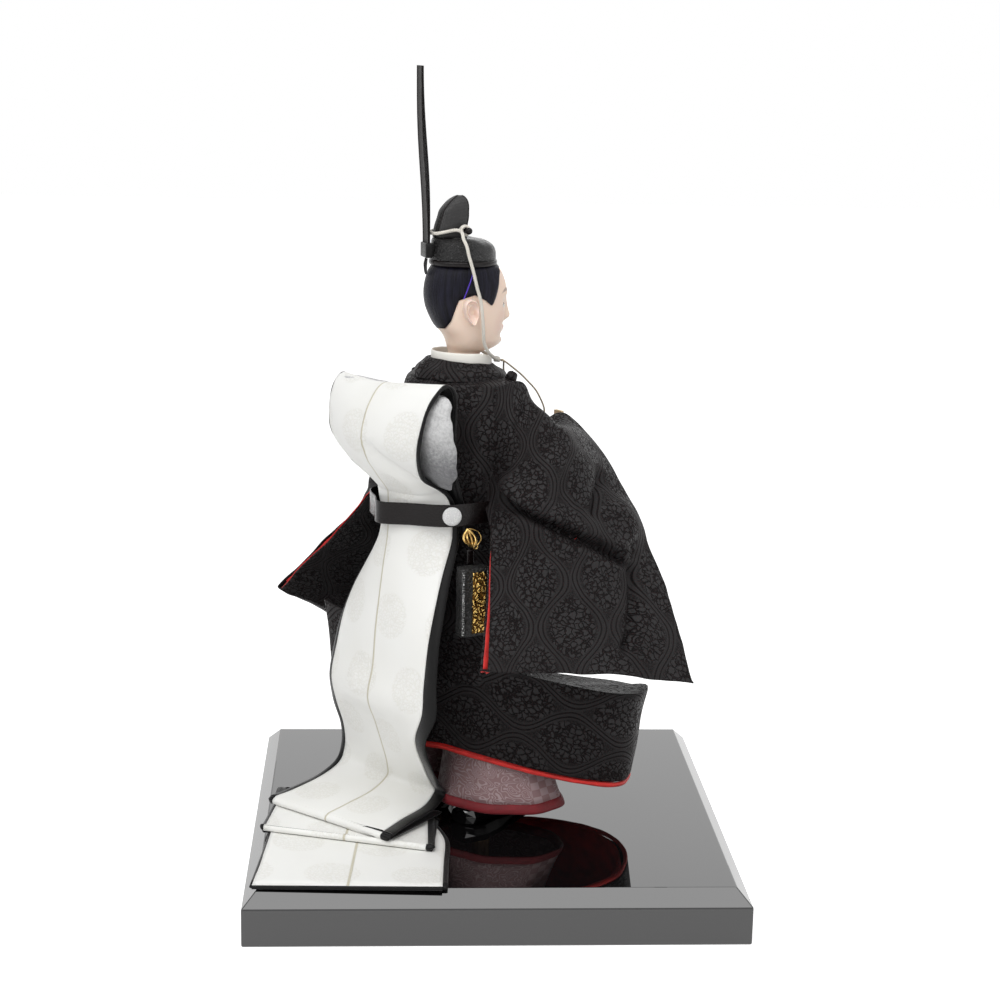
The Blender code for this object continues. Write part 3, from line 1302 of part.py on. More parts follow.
def build_koji(looks, head):
    """The upright part of the crown, bored for its pin, and the pin with a ball at each end."""
    # height, rear and front in the head's frame, and half width
    sections = ((0.3665, -0.0205, 0.0003, 0.0076), (0.3726, -0.0196, 0.0005, 0.0076),
                (0.3783, -0.0178, 0.0014, 0.0074), (0.3823, -0.0166, 0.0014, 0.0072),
                (0.3855, -0.0142, 0.0013, 0.0067), (0.3885, -0.0112, 0.0004, 0.0056),
                (0.3905, -0.0082, -0.0012, 0.0036), (KOJI_TOP, -0.0062, -0.0030, 0.0018))
    rings = []
    for height, rear, front, half in sections:
        ring = []
        for i in range(KOJI_SIDES):
            angle = 2 * math.pi * i / KOJI_SIDES
            x = math.copysign(abs(math.cos(angle)) ** KOJI_POWER, math.cos(angle))
            y = math.copysign(abs(math.sin(angle)) ** KOJI_POWER, math.sin(angle))
            ring.append(((rear + front) / 2 + (front - rear) / 2 * x, half * y, height))
        rings.append(ring)
    koji = loft("koji", rings, looks["cap_black"], head)
    reach = 2 * KOJI_SIDE
    bore = tube("cut_koji_pin", [(PIN_FORWARD, -reach, PIN_HEIGHT), (PIN_FORWARD, reach, PIN_HEIGHT)],
                PIN_RADIUS + FIT_GAP, looks["cap_black"], head)
    combine(koji, as_cutter(bore), "DIFFERENCE")
    half_shares = ((0.87, 0.5), (0.90, 0.72), (0.97, 1.0), (1.04, 1.0), (1.11, 0.72), (1.14, 0.35))
    pin_shares = [(-along, thick) for along, thick in half_shares[::-1]] + list(half_shares)
    path = [(PIN_FORWARD, along * PIN_HALF_LENGTH, PIN_HEIGHT) for along, thick in pin_shares]
    tube("cap_pin", path, [thick * PIN_BALL for along, thick in pin_shares], looks["cap_black"], head,
         sides=PIN_SIDES)


def leaning_slab(name, place, thickness, width, low, high, look, head):
    """An upright slab that leans back as it rises."""
    rings = []
    for height in (low, high):
        x = place - EI_LEAN * (height - EI_FOOT)
        rings.append([(x - thickness / 2, -width / 2, height), (x + thickness / 2, -width / 2, height),
                      (x + thickness / 2, width / 2, height), (x - thickness / 2, width / 2, height)])
    return loft(name, rings, look, head, smooth=5.0)


def build_ei(looks, head):
    """The two upright tail leaves in their holder behind the cap, and the cord loop below it."""
    middle = (HOLDER_REAR + HOLDER_FRONT) / 2
    holder = slab("ei_holder", (middle, 0.0, (HOLDER_FOOT + HOLDER_TOP) / 2),
                  (HOLDER_FRONT - HOLDER_REAR, HOLDER_WIDTH, HOLDER_TOP - HOLDER_FOOT), 0.0,
                  looks["cap_black"], head)
    slot = leaning_slab("cut_ei_slot", EI_PLACE, 2 * EI_THICKNESS + 3 * FIT_GAP, EI_WIDTH + 2 * FIT_GAP,
                        EI_FOOT - FIT_GAP, HOLDER_TOP + CUT_OVERRUN, looks["cap_black"], head)
    combine(holder, as_cutter(slot), "DIFFERENCE")
    step = (EI_THICKNESS + FIT_GAP) / 2
    for side, sign in (("front", 1.0), ("back", -1.0)):
        leaning_slab("ei_leaf_" + side, EI_PLACE + sign * step, EI_THICKNESS, EI_WIDTH, EI_FOOT, EI_TOP,
                     looks["gauze"], head)
    top = HOLDER_FOOT - LOOP_CORD_RADIUS - FIT_GAP
    points = [(-0.0246, -0.0012, top), (-0.0252, -0.0020, 0.3500), (-0.0250, -0.0014, 0.3460),
              (-0.0248, 0.0, 0.3444), (-0.0250, 0.0014, 0.3460), (-0.0252, 0.0020, 0.3500),
              (-0.0246, 0.0012, top)]
    cord("ei_loop", smooth_path(points, SHORT_CORD_POINTS), LOOP_CORD_RADIUS, looks["black_cord"], head)


def build_cords(looks, head):
    """The chin cord round the koji and under the chin, its knot, its two tails and the hair thread."""
    right = [(-0.0222, 0.0, 0.3690), (-0.0200, -0.0065, 0.3692), (-0.0150, -0.0094, 0.3704),
             (-0.0100, -0.0104, 0.3714), (-0.0072, -0.0130, 0.3712), (-0.0069, -0.0168, 0.3700),
             (-0.0070, -0.0200, 0.3670), (-0.0055, -0.0219, 0.3627), (-0.0042, -0.0225, 0.3570),
             (-0.0028, -0.0228, 0.3524), (-0.0005, -0.0227, 0.3444), (0.0012, -0.0226, 0.3379),
             (0.0036, -0.0224, 0.3299), (0.0049, -0.0220, 0.3217), (0.0062, -0.0206, 0.3117),
             (0.0073, -0.0184, 0.3044), (0.0106, -0.0164, 0.2981), (0.0156, -0.0116, 0.2939),
             (0.0193, -0.0064, 0.2917), (0.0213, -0.0026, 0.2907)]
    left = [(x, -y, z) for x, y, z in right[:0:-1]]
    cord("chin_cord", smooth_path(left + right, CHIN_CORD_POINTS), CORD_RADIUS, looks["silk_cord"], head)
    knot = CHIN_KNOT_PLACE
    shares = ((0.3, -1.0), (0.8, -0.7), (1.0, 0.0), (0.8, 0.7), (0.3, 1.0))
    profile = [(r * CHIN_KNOT_RADIUS, knot[2] + h * CHIN_KNOT_RADIUS) for r, h in shares]
    turned("chin_knot", profile, knot[:2],
           looks["silk_cord"], head, CHIN_KNOT_SIDES)
    reach = CHIN_KNOT_RADIUS + TAIL_RADIUS
    tails = {"right": [(38.6, 8.2, 280.2), (45.4, 8.2, 274.5), (52.2, 8.2, 268.1), (56.9, 8.2, 261.2),
                       (59.4, 8.2, 256.0), (60.0, 8.0, 252.0)],
             "left": [(33.0, -0.5, 280.5), (40.5, -3.0, 273.0), (46.0, -4.5, 264.0), (48.6, -5.3, 256.0),
                      (49.2, -5.5, 252.0)]}
    for side, sign in (("right", 1.0), ("left", -1.0)):
        out = Vector((TAIL_WAY[0], TAIL_WAY[1] * sign, TAIL_WAY[2])).normalized()
        start = Vector(knot) + out * reach
        points = [tuple(start), tuple(start + out * reach)]
        points += [head_from_chest(*(value * MILLI for value in point)) for point in tails[side]]
        cord("chin_tail_" + side, smooth_path(points, SHORT_CORD_POINTS), TAIL_RADIUS,
             looks["silk_cord"], head)
    thread = [(-0.0010, -0.0206, 0.3470), (-0.0024, -0.0208, 0.3430), (-0.0042, -0.0212, 0.3380),
              (-0.0060, -0.0212, 0.3330), (-0.0066, -0.0211, 0.3312)]
    cord("hair_thread", smooth_path(thread, SHORT_CORD_POINTS), THREAD_RADIUS, looks["purple_cord"], head)


def head_from_chest(forward, right, height):
    """A place given in the doll's frame, as forward and right, in the head's frame."""
    turn = CHEST_TURN - HEAD_TURN
    return (forward * math.cos(turn) + right * math.sin(turn),
            forward * math.sin(turn) - right * math.cos(turn), height)


def main():
    """Build every piece of the doll."""
    remove_everything()
    looks = {
        "lacquer": material("lacquer", (0.012, 0.012, 0.013), 0.08),
        "steel": material("steel", (0.55, 0.55, 0.57), 0.35, 1.0),
        "wood": material("wood", (0.55, 0.38, 0.22), 0.6),
        "pale_wood": material("pale_wood", (0.80, 0.66, 0.45), 0.5),
        "straw": material("straw", (0.62, 0.52, 0.30), 0.9),
        "gofun": material("gofun", (0.87, 0.74, 0.68), 0.4),
        "damask": material("damask", (0.020, 0.018, 0.020), 0.6),
        "red": material("red", (0.62, 0.03, 0.025), 0.6),
        "dark_red": material("dark_red", (0.26, 0.004, 0.010), 0.5),
        "pale_damask": material("pale_damask", (0.45, 0.37, 0.40), 0.6),
        "white_silk": material("white_silk", (0.93, 0.92, 0.88), 0.5),
        "satin": material("satin", (0.010, 0.010, 0.011), 0.3),
        "cotton": material("cotton", (0.80, 0.80, 0.80), 1.0),
        "leather": material("leather", (0.010, 0.010, 0.011), 0.15),
        "stone": material("stone", (0.85, 0.85, 0.86), 0.3),
        "gold": material("gold", (0.75, 0.50, 0.15), 0.3, 1.0),
        "shagreen": material("shagreen", (0.02, 0.02, 0.02), 0.4),
        "hair": material("hair", (0.010, 0.010, 0.018), 0.35),
        "cap_black": material("cap_black", (0.012, 0.012, 0.012), 0.5),
        "gauze": material("gauze", (0.018, 0.018, 0.018), 0.6),
        "black_cord": material("black_cord", (0.015, 0.015, 0.015), 0.7),
        "silk_cord": material("silk_cord", (0.85, 0.80, 0.70), 0.7),
        "purple_cord": material("purple_cord", (0.10, 0.04, 0.60), 0.6),
    }
    doll = empty("doll", (DOLL_X, DOLL_Y, BOARD_TOP), CHEST_TURN)
    head = empty("head_pivot", (0.0, 0.0, 0.0), HEAD_TURN - CHEST_TURN, doll)
    build_board(looks)
    build_legs(looks, doll)
    build_core(looks, doll)
    build_arms(looks, doll)
    build_hands(looks, doll)
    build_robe_body(looks, doll)
    build_band(looks, doll)
    build_sleeves(looks, doll)
    build_collars(looks, doll)
    build_trousers(looks, doll)
    build_train(looks, doll)
    build_belt(looks, doll)
    build_hip_case(looks, doll)
    build_head(looks, head)
    build_hair(looks, head)
    build_cap(looks, head)
    build_cords(looks, head)


main()
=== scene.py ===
# Hina doll: a standing court noble in black damask with a long white train, on a lacquered board.
# Metres, +Z up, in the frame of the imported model. Cloth surfaces follow the model's own tables.

import math

import bpy
import numpy as np
from mathutils import Matrix, Vector, noise


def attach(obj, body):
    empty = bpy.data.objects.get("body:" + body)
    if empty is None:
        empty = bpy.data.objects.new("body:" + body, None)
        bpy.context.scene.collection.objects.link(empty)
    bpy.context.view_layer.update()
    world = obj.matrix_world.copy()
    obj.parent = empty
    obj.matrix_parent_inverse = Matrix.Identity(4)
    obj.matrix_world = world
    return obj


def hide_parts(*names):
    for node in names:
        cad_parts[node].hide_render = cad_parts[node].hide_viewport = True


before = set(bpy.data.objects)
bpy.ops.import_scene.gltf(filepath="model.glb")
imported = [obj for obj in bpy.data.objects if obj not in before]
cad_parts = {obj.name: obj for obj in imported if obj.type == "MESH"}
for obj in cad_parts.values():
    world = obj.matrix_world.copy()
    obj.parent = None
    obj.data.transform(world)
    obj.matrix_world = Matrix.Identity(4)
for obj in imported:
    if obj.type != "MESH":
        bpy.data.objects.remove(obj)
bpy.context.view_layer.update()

DOLL = "doll"
HEAD = "headgear"
ORIGIN_X = -0.020
ORIGIN_Y = -0.005
BOARD_TOP = 0.033
BOARD_HALF = 0.150
BOARD_BEVEL = 0.009
ORIGIN = Vector((ORIGIN_X, ORIGIN_Y, BOARD_TOP))
CHEST_TURN = math.radians(36.5)
HEAD_TURN = math.radians(14.0)
HIP_TURN = math.radians(70.7)
CHEST = Matrix.Translation(ORIGIN) @ Matrix.Rotation(CHEST_TURN, 4, "Z")
SKULL = Matrix.Translation(ORIGIN) @ Matrix.Rotation(HEAD_TURN, 4, "Z")
CASE_TURN = math.atan2(-0.919926, 0.392092)
CASE = Matrix.Translation((-0.017206, -0.058527, 0.231220)) @ Matrix.Rotation(CASE_TURN, 4, "Z")


# Camera

def build_camera():
    """The camera that the board's corners in the photograph give."""
    data = bpy.data.cameras.new("camera")
    data.sensor_width = 36.0
    data.lens = 74.864
    data.shift_y = 0.026
    data.clip_start = 0.05
    made = bpy.data.objects.new("camera", data)
    bpy.context.scene.collection.objects.link(made)
    yaw, pitch, roll = -0.0582, 0.2376, 0.0201
    ahead = Vector((-math.sin(yaw) * math.cos(pitch), math.cos(yaw) * math.cos(pitch), -math.sin(pitch)))
    right = Vector((math.cos(yaw), math.sin(yaw), 0.0))
    up = right.cross(ahead)
    right_now = right * math.cos(roll) + up * math.sin(roll)
    up_now = up * math.cos(roll) - right * math.sin(roll)
    turn = Matrix((right_now, up_now, -ahead)).transposed().to_4x4()
    made.matrix_world = Matrix.Translation((-0.0695137, -1.2746948, 0.5265048)) @ turn
    bpy.context.scene.camera = made


# Points and meshes

SPAN_STEPS = 16


def put(points, matrix):
    """World places of points given in a frame."""
    points = np.asarray(points, float)
    turn = np.array(matrix.to_3x3())
    return points @ turn.T + np.array(matrix.translation)


def run_along(points):
    """Length of a line of points up to each of them."""
    return np.concatenate([[0.0], np.cumsum(np.linalg.norm(np.diff(points, axis=0), axis=1))])


def turns(count):
    """Angles all around, evenly spaced."""
    return np.linspace(0.0, math.tau, count, endpoint=False)


def squared(value, power):
    """A sine or cosine bent toward the outline of a box, with its sign kept."""
    return math.copysign(abs(value) ** power, value)


def between(front, back, angle, sharp):
    """A size that passes from the front's to the back's as the angle turns away from straight ahead."""
    blend = 0.5 + 0.5 * math.tanh(sharp * math.cos(angle))
    return front * blend + back * (1.0 - blend)


def spline(points, count, even=True):
    """Points on a smooth line through the given ones, evenly spaced or count steps for each span."""
    points = np.asarray(points, float)
    ends = np.concatenate([[2 * points[0] - points[1]], points, [2 * points[-1] - points[-2]]])
    steps = SPAN_STEPS if even else count
    t = np.linspace(0.0, 1.0, steps, endpoint=False).reshape([-1] + [1] * (points.ndim - 1))
    spans = []
    for i in range(len(points) - 1):
        a, b, c, d = ends[i:i + 4]
        spans.append(0.5 * (2 * b + (c - a) * t + (2 * a - 5 * b + 4 * c - d) * t ** 2
                            + (3 * b - a - 3 * c + d) * t ** 3))
    dense = np.concatenate(spans + [points[-1:]])
    if not even:
        return dense
    run = run_along(dense)
    wanted = np.linspace(0.0, run[-1], count)
    return np.stack([np.interp(wanted, run, dense[:, k]) for k in range(dense.shape[1])], axis=1)


def ring_spline(points, count):
    """Evenly spaced points on a closed smooth line."""
    points = [list(p) for p in points]
    dense = spline(points[-3:] + points + points[:4], SPAN_STEPS, even=False)
    ring = dense[3 * SPAN_STEPS:(3 + len(points)) * SPAN_STEPS + 1]
    run = run_along(ring)
    wanted = np.linspace(0.0, run[-1], count, endpoint=False)
    return np.stack([np.interp(wanted, run, ring[:, k]) for k in range(ring.shape[1])], axis=1)


def normals(grid, closed=False):
    """Unit normals of a grid of points."""
    along = np.gradient(grid, axis=0)
    if closed:
        across = np.roll(grid, -1, axis=1) - np.roll(grid, 1, axis=1)
    else:
        across = np.gradient(grid, axis=1)
    normal = np.cross(across, along)
    return normal / np.maximum(np.linalg.norm(normal, axis=2, keepdims=True), 1e-12)


def distance_to(grid, path):
    """Distance of each grid point from a line of points, and how far along the line it is, 0 to 1."""
    path = np.asarray(path, float)
    best = np.full(grid.shape[:2], 1e9)
    place = np.zeros(grid.shape[:2])
    spans = np.linalg.norm(np.diff(path, axis=0), axis=1)
    run = np.concatenate([[0.0], np.cumsum(spans)])
    for i in range(len(path) - 1):
        a = path[i]
        step = path[i + 1] - a
        t = np.clip(((grid - a) @ step) / (step @ step), 0.0, 1.0)
        gap = np.linalg.norm(grid - (a + t[..., None] * step), axis=2)
        nearer = gap < best
        best = np.where(nearer, gap, best)
        place = np.where(nearer, (run[i] + t * spans[i]) / run[-1], place)
    return best, place


def crease(grid, closed, path, depth, width, sharp=1.4, taper=0.25):
    """Press a fold into a grid along a line in millimetres; below zero raises a ridge."""
    path = spline(np.array(path, float) * 0.001, 24)
    gap, place = distance_to(grid, path)
    fade = np.clip(np.minimum(place, 1.0 - place) / max(taper, 1e-6), 0.0, 1.0)
    fade = fade * fade * (3.0 - 2.0 * fade) if taper > 0.0 else 1.0
    amount = depth * np.exp(-(gap / width) ** sharp) * fade
    return grid - normals(grid, closed) * amount[..., None]


def rough(grid, closed, size, height, seed=0.0):
    """Move a grid in and out by smooth noise of a size in metres."""
    out = normals(grid, closed)
    flat = grid.reshape(-1, 3)
    shift = np.array([noise.noise(Vector((p[0] / size + seed, p[1] / size, p[2] / size))) for p in flat])
    return grid + out * (shift.reshape(grid.shape[:2]) * height)[..., None]


def shape_from(name, points, faces, look, body, uvs, angle=None):
    """A mesh piece that rides on a body."""
    mesh = bpy.data.meshes.new(name)
    mesh.from_pydata([tuple(p) for p in points], [], faces)
    mesh.materials.append(look)
    layer = mesh.uv_layers.new(name="UVMap")
    index = np.zeros(len(mesh.loops), dtype=np.int32)
    mesh.loops.foreach_get("vertex_index", index)
    layer.data.foreach_set("uv", np.asarray(uvs, float)[index].reshape(-1))
    mesh.shade_smooth()
    if angle is not None:
        mesh.set_sharp_from_angle(angle=math.radians(angle))
    made = bpy.data.objects.new(name, mesh)
    bpy.context.scene.collection.objects.link(made)
    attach(made, body)
    return made


def grid_uv(grid):
    """Lengths across a grid from its middle and along it from its first row, in metres."""
    rows, columns = grid.shape[:2]
    across = np.linalg.norm(np.diff(grid, axis=1), axis=2).mean(axis=0)
    along = np.linalg.norm(np.diff(grid, axis=0), axis=2).mean(axis=1)
    u = np.concatenate([[0.0], np.cumsum(across)])
    v = np.concatenate([[0.0], np.cumsum(along)])
    u = u - u[-1] / 2
    uv = np.zeros((rows, columns, 2))
    uv[..., 0] = u[None, :]
    uv[..., 1] = v[:, None]
    return uv.reshape(-1, 2)


def cloth(name, grid, look, body=DOLL, thick=0.0011, closed=False, levels=1, nodes=(), uvs=None):
    """A sheet of cloth with soft edges: the grid is its outer face."""
    grid = np.asarray(grid, float)
    rows, columns = grid.shape[:2]
    if closed:
        grid = np.concatenate([grid, grid[:, :1]], axis=1)
        columns += 1
    if uvs is None:
        uvs = grid_uv(grid)
    out = normals(grid)
    if closed:
        seam = out[:, 0] + out[:, -1]
        seam /= np.linalg.norm(seam, axis=1, keepdims=True)
        out[:, 0] = seam
        out[:, -1] = seam
    points = np.concatenate([grid.reshape(-1, 3), (grid - out * thick).reshape(-1, 3)])
    half = rows * columns
    faces = []
    for i in range(rows - 1):
        for j in range(columns - 1):
            a = i * columns + j
            b = a + columns
            faces.append((a, a + 1, b + 1, b))
            faces.append((half + b, half + b + 1, half + a + 1, half + a))
    for j in range(columns - 1):
        a = j
        b = (rows - 1) * columns + j
        faces.append((a + 1, a, half + a, half + a + 1))
        faces.append((b, b + 1, half + b + 1, half + b))
    if not closed:
        for i in range(rows - 1):
            a = i * columns
            b = a + columns
            faces.append((a, b, half + b, half + a))
            a += columns - 1
            b += columns - 1
            faces.append((b, a, half + a, half + b))
    made = shape_from(name, points, faces, look, body, np.concatenate([uvs, uvs]))
    if closed:
        weld = made.modifiers.new("weld", "WELD")
        weld.merge_threshold = 0.00001
    finish_piece(made, levels, nodes)
    return made


def finish_piece(made, levels=0, nodes=()):
    """Subdivide a piece, and hide the model's parts that it replaces."""
    if levels:
        soft = made.modifiers.new("soft", "SUBSURF")
        soft.levels = levels
        soft.render_levels = levels
    if nodes:
        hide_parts(*nodes)


def tube(name, path, radius, look, body, sides=12, nodes=(), strands=0, pitch=0.004, depth=0.16,
         levels=0):
    """A round bar, cord or twisted rope along a path."""
    path = np.asarray(path, float)
    count = len(path)
    radius = np.broadcast_to(radius, count)
    ahead = np.gradient(path, axis=0)
    ahead /= np.linalg.norm(ahead, axis=1, keepdims=True)
    side = np.cross(ahead[0], (0.0, 0.0, 1.0))
    if np.linalg.norm(side) < 0.1:
        side = np.cross(ahead[0], (0.0, 1.0, 0.0))
    run = run_along(path)
    points = []
    uvs = []
    for i in range(count):
        side = side - ahead[i] * np.dot(side, ahead[i])
        side = side / np.linalg.norm(side)
        up = np.cross(ahead[i], side)
        for j in range(sides):
            angle = math.tau * j / sides
            r = radius[i]
            if strands:
                r *= 1.0 - depth + depth * abs(math.cos(strands / 2 * (angle - math.tau * run[i] / pitch)))
            points.append(path[i] + side * math.cos(angle) * r + up * math.sin(angle) * r)
            uvs.append((j / sides * math.tau * radius[i], run[i]))
    faces = []
    for i in range(count - 1):
        for j in range(sides):
            k = (j + 1) % sides
            faces.append((i * sides + j, i * sides + k, (i + 1) * sides + k, (i + 1) * sides + j))
    faces.append(tuple(reversed(range(sides))))
    faces.append(tuple(range((count - 1) * sides, count * sides)))
    made = shape_from(name, points, faces, look, body, uvs, angle=60.0)
    finish_piece(made, levels, nodes)
    return made


def loft(name, rings, look, body, nodes=(), levels=0, angle=None, caps=True, uvs=None):
    """A solid through closed rings."""
    rings = np.asarray(rings, float)
    rows, count = rings.shape[:2]
    faces = []
    for i in range(rows - 1):
        for j in range(count):
            k = (j + 1) % count
            faces.append((i * count + j, i * count + k, (i + 1) * count + k, (i + 1) * count + j))
    if caps:
        faces.append(tuple(reversed(range(count))))
        faces.append(tuple(range((rows - 1) * count, rows * count)))
    if uvs is None:
        closed = np.concatenate([rings, rings[:, :1]], axis=1)
        uvs = grid_uv(closed).reshape(rows, count + 1, 2)[:, :-1].reshape(-1, 2)
    made = shape_from(name, rings.reshape(-1, 3), faces, look, body, uvs, angle=angle)
    finish_piece(made, levels, nodes)
    return made


# Materials

class Look:
    """A Principled material and a short way to wire its nodes."""

    def __init__(self, name, colour, roughness=0.5, metallic=0.0, specular=0.5, **more):
        self.material = bpy.data.materials.new(name)
        self.material.use_nodes = True
        self.tree = self.material.node_tree
        self.shader = self.tree.nodes["Principled BSDF"]
        self.set("Base Color", (*colour, 1.0))
        self.set("Roughness", roughness)
        self.set("Metallic", metallic)
        self.set("Specular IOR Level", specular)
        for key, value in more.items():
            self.set(key.replace("_", " "), value)

    def set(self, socket, value):
        """Give a socket of the shader a value or a link."""
        self.feed(self.shader.inputs[socket], value)

    def feed(self, socket, value):
        """Give any socket a value or a link."""
        if hasattr(value, "is_output"):
            self.tree.links.new(value, socket)
        else:
            socket.default_value = value

    def node(self, kind, **inputs):
        """A node with its inputs by name."""
        made = self.tree.nodes.new(kind)
        for key, value in inputs.items():
            self.feed(made.inputs[key], value)
        return made

    def math(self, operation, a, b=None, c=None):
        """A Math node's result."""
        made = self.tree.nodes.new("ShaderNodeMath")
        made.operation = operation
        for socket, value in zip(made.inputs, (a, b, c)):
            if value is not None:
                self.feed(socket, value)
        return made.outputs[0]

    def mix(self, share, a, b):
        """A colour between two."""
        made = self.tree.nodes.new("ShaderNodeMix")
        made.data_type = "RGBA"
        self.feed(made.inputs[0], share)
        for socket, value in ((made.inputs[6], a), (made.inputs[7], b)):
            self.feed(socket, value if hasattr(value, "is_output") else (*value, 1.0))
        return made.outputs[2]

    def span(self, value, low, high, to_low=0.0, to_high=1.0):
        """A value mapped from one range to another, eased and clamped."""
        made = self.tree.nodes.new("ShaderNodeMapRange")
        made.interpolation_type = "SMOOTHSTEP"
        for socket, number in zip(made.inputs, (value, low, high, to_low, to_high)):
            self.feed(socket, number)
        return made.outputs[0]

    def uv(self):
        """The piece's lengths across and along, in metres, as a vector and apart."""
        vector = self.node("ShaderNodeTexCoord").outputs["UV"]
        parts = self.node("ShaderNodeSeparateXYZ", Vector=vector)
        return vector, parts.outputs[0], parts.outputs[1]

    def place(self):
        """The piece's own coordinates, in metres."""
        vector = self.node("ShaderNodeTexCoord").outputs["Object"]
        parts = self.node("ShaderNodeSeparateXYZ", Vector=vector)
        return vector, parts.outputs[0], parts.outputs[1], parts.outputs[2]

    def noise(self, vector, scale, detail=2.0, rough=0.5, distort=0.0):
        """Smooth noise."""
        made = self.node("ShaderNodeTexNoise", Vector=vector, Scale=scale, Detail=detail, Roughness=rough,
                         Distortion=distort)
        return made.outputs[0]

    def warp(self, vector, scale, amount, detail=1.0):
        """A vector moved about by noise."""
        made = self.node("ShaderNodeTexNoise", Vector=vector, Scale=scale, Detail=detail)
        shift = self.node("ShaderNodeVectorMath")
        shift.operation = "MULTIPLY_ADD"
        self.feed(shift.inputs[0], made.outputs["Color"])
        shift.inputs[1].default_value = (amount, amount, amount)
        self.feed(shift.inputs[2], vector)
        return shift.outputs[0]

    def cells(self, vector, scale):
        """Distance from the edges of a cell pattern."""
        made = self.tree.nodes.new("ShaderNodeTexVoronoi")
        made.feature = "DISTANCE_TO_EDGE"
        self.feed(made.inputs["Vector"], vector)
        made.inputs["Scale"].default_value = scale
        return made.outputs["Distance"]

    def weave(self, u, v, pitch):
        """A plain weave's height, 0 to 1, from lengths across and along."""
        a = self.math("SINE", self.math("MULTIPLY", u, math.tau / pitch))
        b = self.math("SINE", self.math("MULTIPLY", v, math.tau / pitch))
        both = self.math("MULTIPLY", a, b)
        return self.math("MULTIPLY_ADD", both, 0.5, 0.5)

    def bump(self, height, distance, strength=1.0):
        """Relief on the surface, with the height's full step in metres."""
        made = self.node("ShaderNodeBump", Height=height, Distance=distance, Strength=strength)
        self.set("Normal", made.outputs[0])

    def add(self, *values):
        """A sum."""
        total = values[0]
        for value in values[1:]:
            total = self.math("ADD", total, value)
        return total

    def times(self, *values):
        """A product."""
        total = values[0]
        for value in values[1:]:
            total = self.math("MULTIPLY", total, value)
        return total


# pale is the painted highlight colour of the raised figure; dark is the cloth's black, which the grooves are
# painted toward as their shade.
def damask(name, dark=(0.0018, 0.0013, 0.0015), pale=(0.030, 0.030, 0.031), relief=0.0008):
    """Black damask: paired rising waves that meet and part, with a flower spray in each opening, the raised
    figure painted paler as its highlight.
    """
    look = Look(name, dark, 0.6, specular=0.12)
    vector, u, v = look.uv()
    moved = look.warp(vector, 60.0, 0.0016)
    parts = look.node("ShaderNodeSeparateXYZ", Vector=moved)
    mu, mv = parts.outputs[0], parts.outputs[1]
    pitch, swing, rise = 0.0215, 0.0078, 0.060
    wave = look.times(look.math("SINE", look.math("MULTIPLY", mv, math.tau / rise)), swing)
    even = look.math("PINGPONG", look.math("SUBTRACT", mu, wave), pitch)
    odd = look.math("PINGPONG", look.math("SUBTRACT", look.add(mu, wave), pitch), pitch)
    line = look.math("MINIMUM", even, odd)
    pair = look.math("ABSOLUTE", look.math("SUBTRACT", line, 0.00150))
    groove = look.span(pair, 0.00070, 0.00015)
    band = look.span(line, 0.0040, 0.0026)
    sprays = []
    for across, along in ((0.5, 0.75), (1.5, 0.25)):
        du = look.math("WRAP", look.math("SUBTRACT", mu, across * pitch), pitch, -pitch)
        dv = look.math("WRAP", look.math("SUBTRACT", mv, along * rise), rise / 2, -rise / 2)
        reach = look.add(look.math("POWER", look.math("ABSOLUTE", look.math("DIVIDE", du, 0.0132)), 2.0),
                         look.math("POWER", look.math("ABSOLUTE", look.math("DIVIDE", dv, 0.0190)), 2.0))
        sprays.append(look.span(reach, 1.15, 0.85))
    spray = look.math("MAXIMUM", *sprays)
    curled = look.warp(vector, 260.0, 0.0050, 2.0)
    leaves = look.span(look.cells(curled, 300.0), 0.03, 0.17)
    tight = look.warp(vector, 420.0, 0.0030, 2.0)
    pebble = look.add(look.times(look.span(look.cells(tight, 780.0), 0.02, 0.28), 0.35), 0.22)
    rest = look.math("SUBTRACT", 1.0, spray)
    field = look.add(look.times(leaves, spray, 0.85), look.times(pebble, rest))
    field = look.add(look.times(field, look.math("SUBTRACT", 1.0, band)), look.times(band, 0.55))
    # The grooves are pressed lower here. Through the height they are also painted darker, as their shade.
    field = look.times(field, look.math("SUBTRACT", 1.0, look.times(groove, 0.92)))
    thread = look.noise(vector, 1500.0, 2.0)
    height = look.add(field, look.times(look.weave(u, v, 0.00050), 0.10), look.times(thread, 0.22))
    # Colour follows height: raised parts are painted toward pale as their highlight, and low parts toward dark
    # as shade. The patch noise varies the tone at random.
    tone = look.span(height, 0.10, 1.15)
    patch = look.noise(vector, 24.0, 2.0)
    tone = look.times(tone, look.span(patch, 0.25, 0.75, 0.72, 1.15))
    black = look.mix(look.span(thread, 0.52, 0.70), look.mix(tone, dark, pale), (0.030, 0.013, 0.013))
    look.set("Base Color", black)
    look.set("Roughness", look.span(height, 0.0, 1.0, 0.72, 0.40))
    look.bump(height, relief)
    return look.material


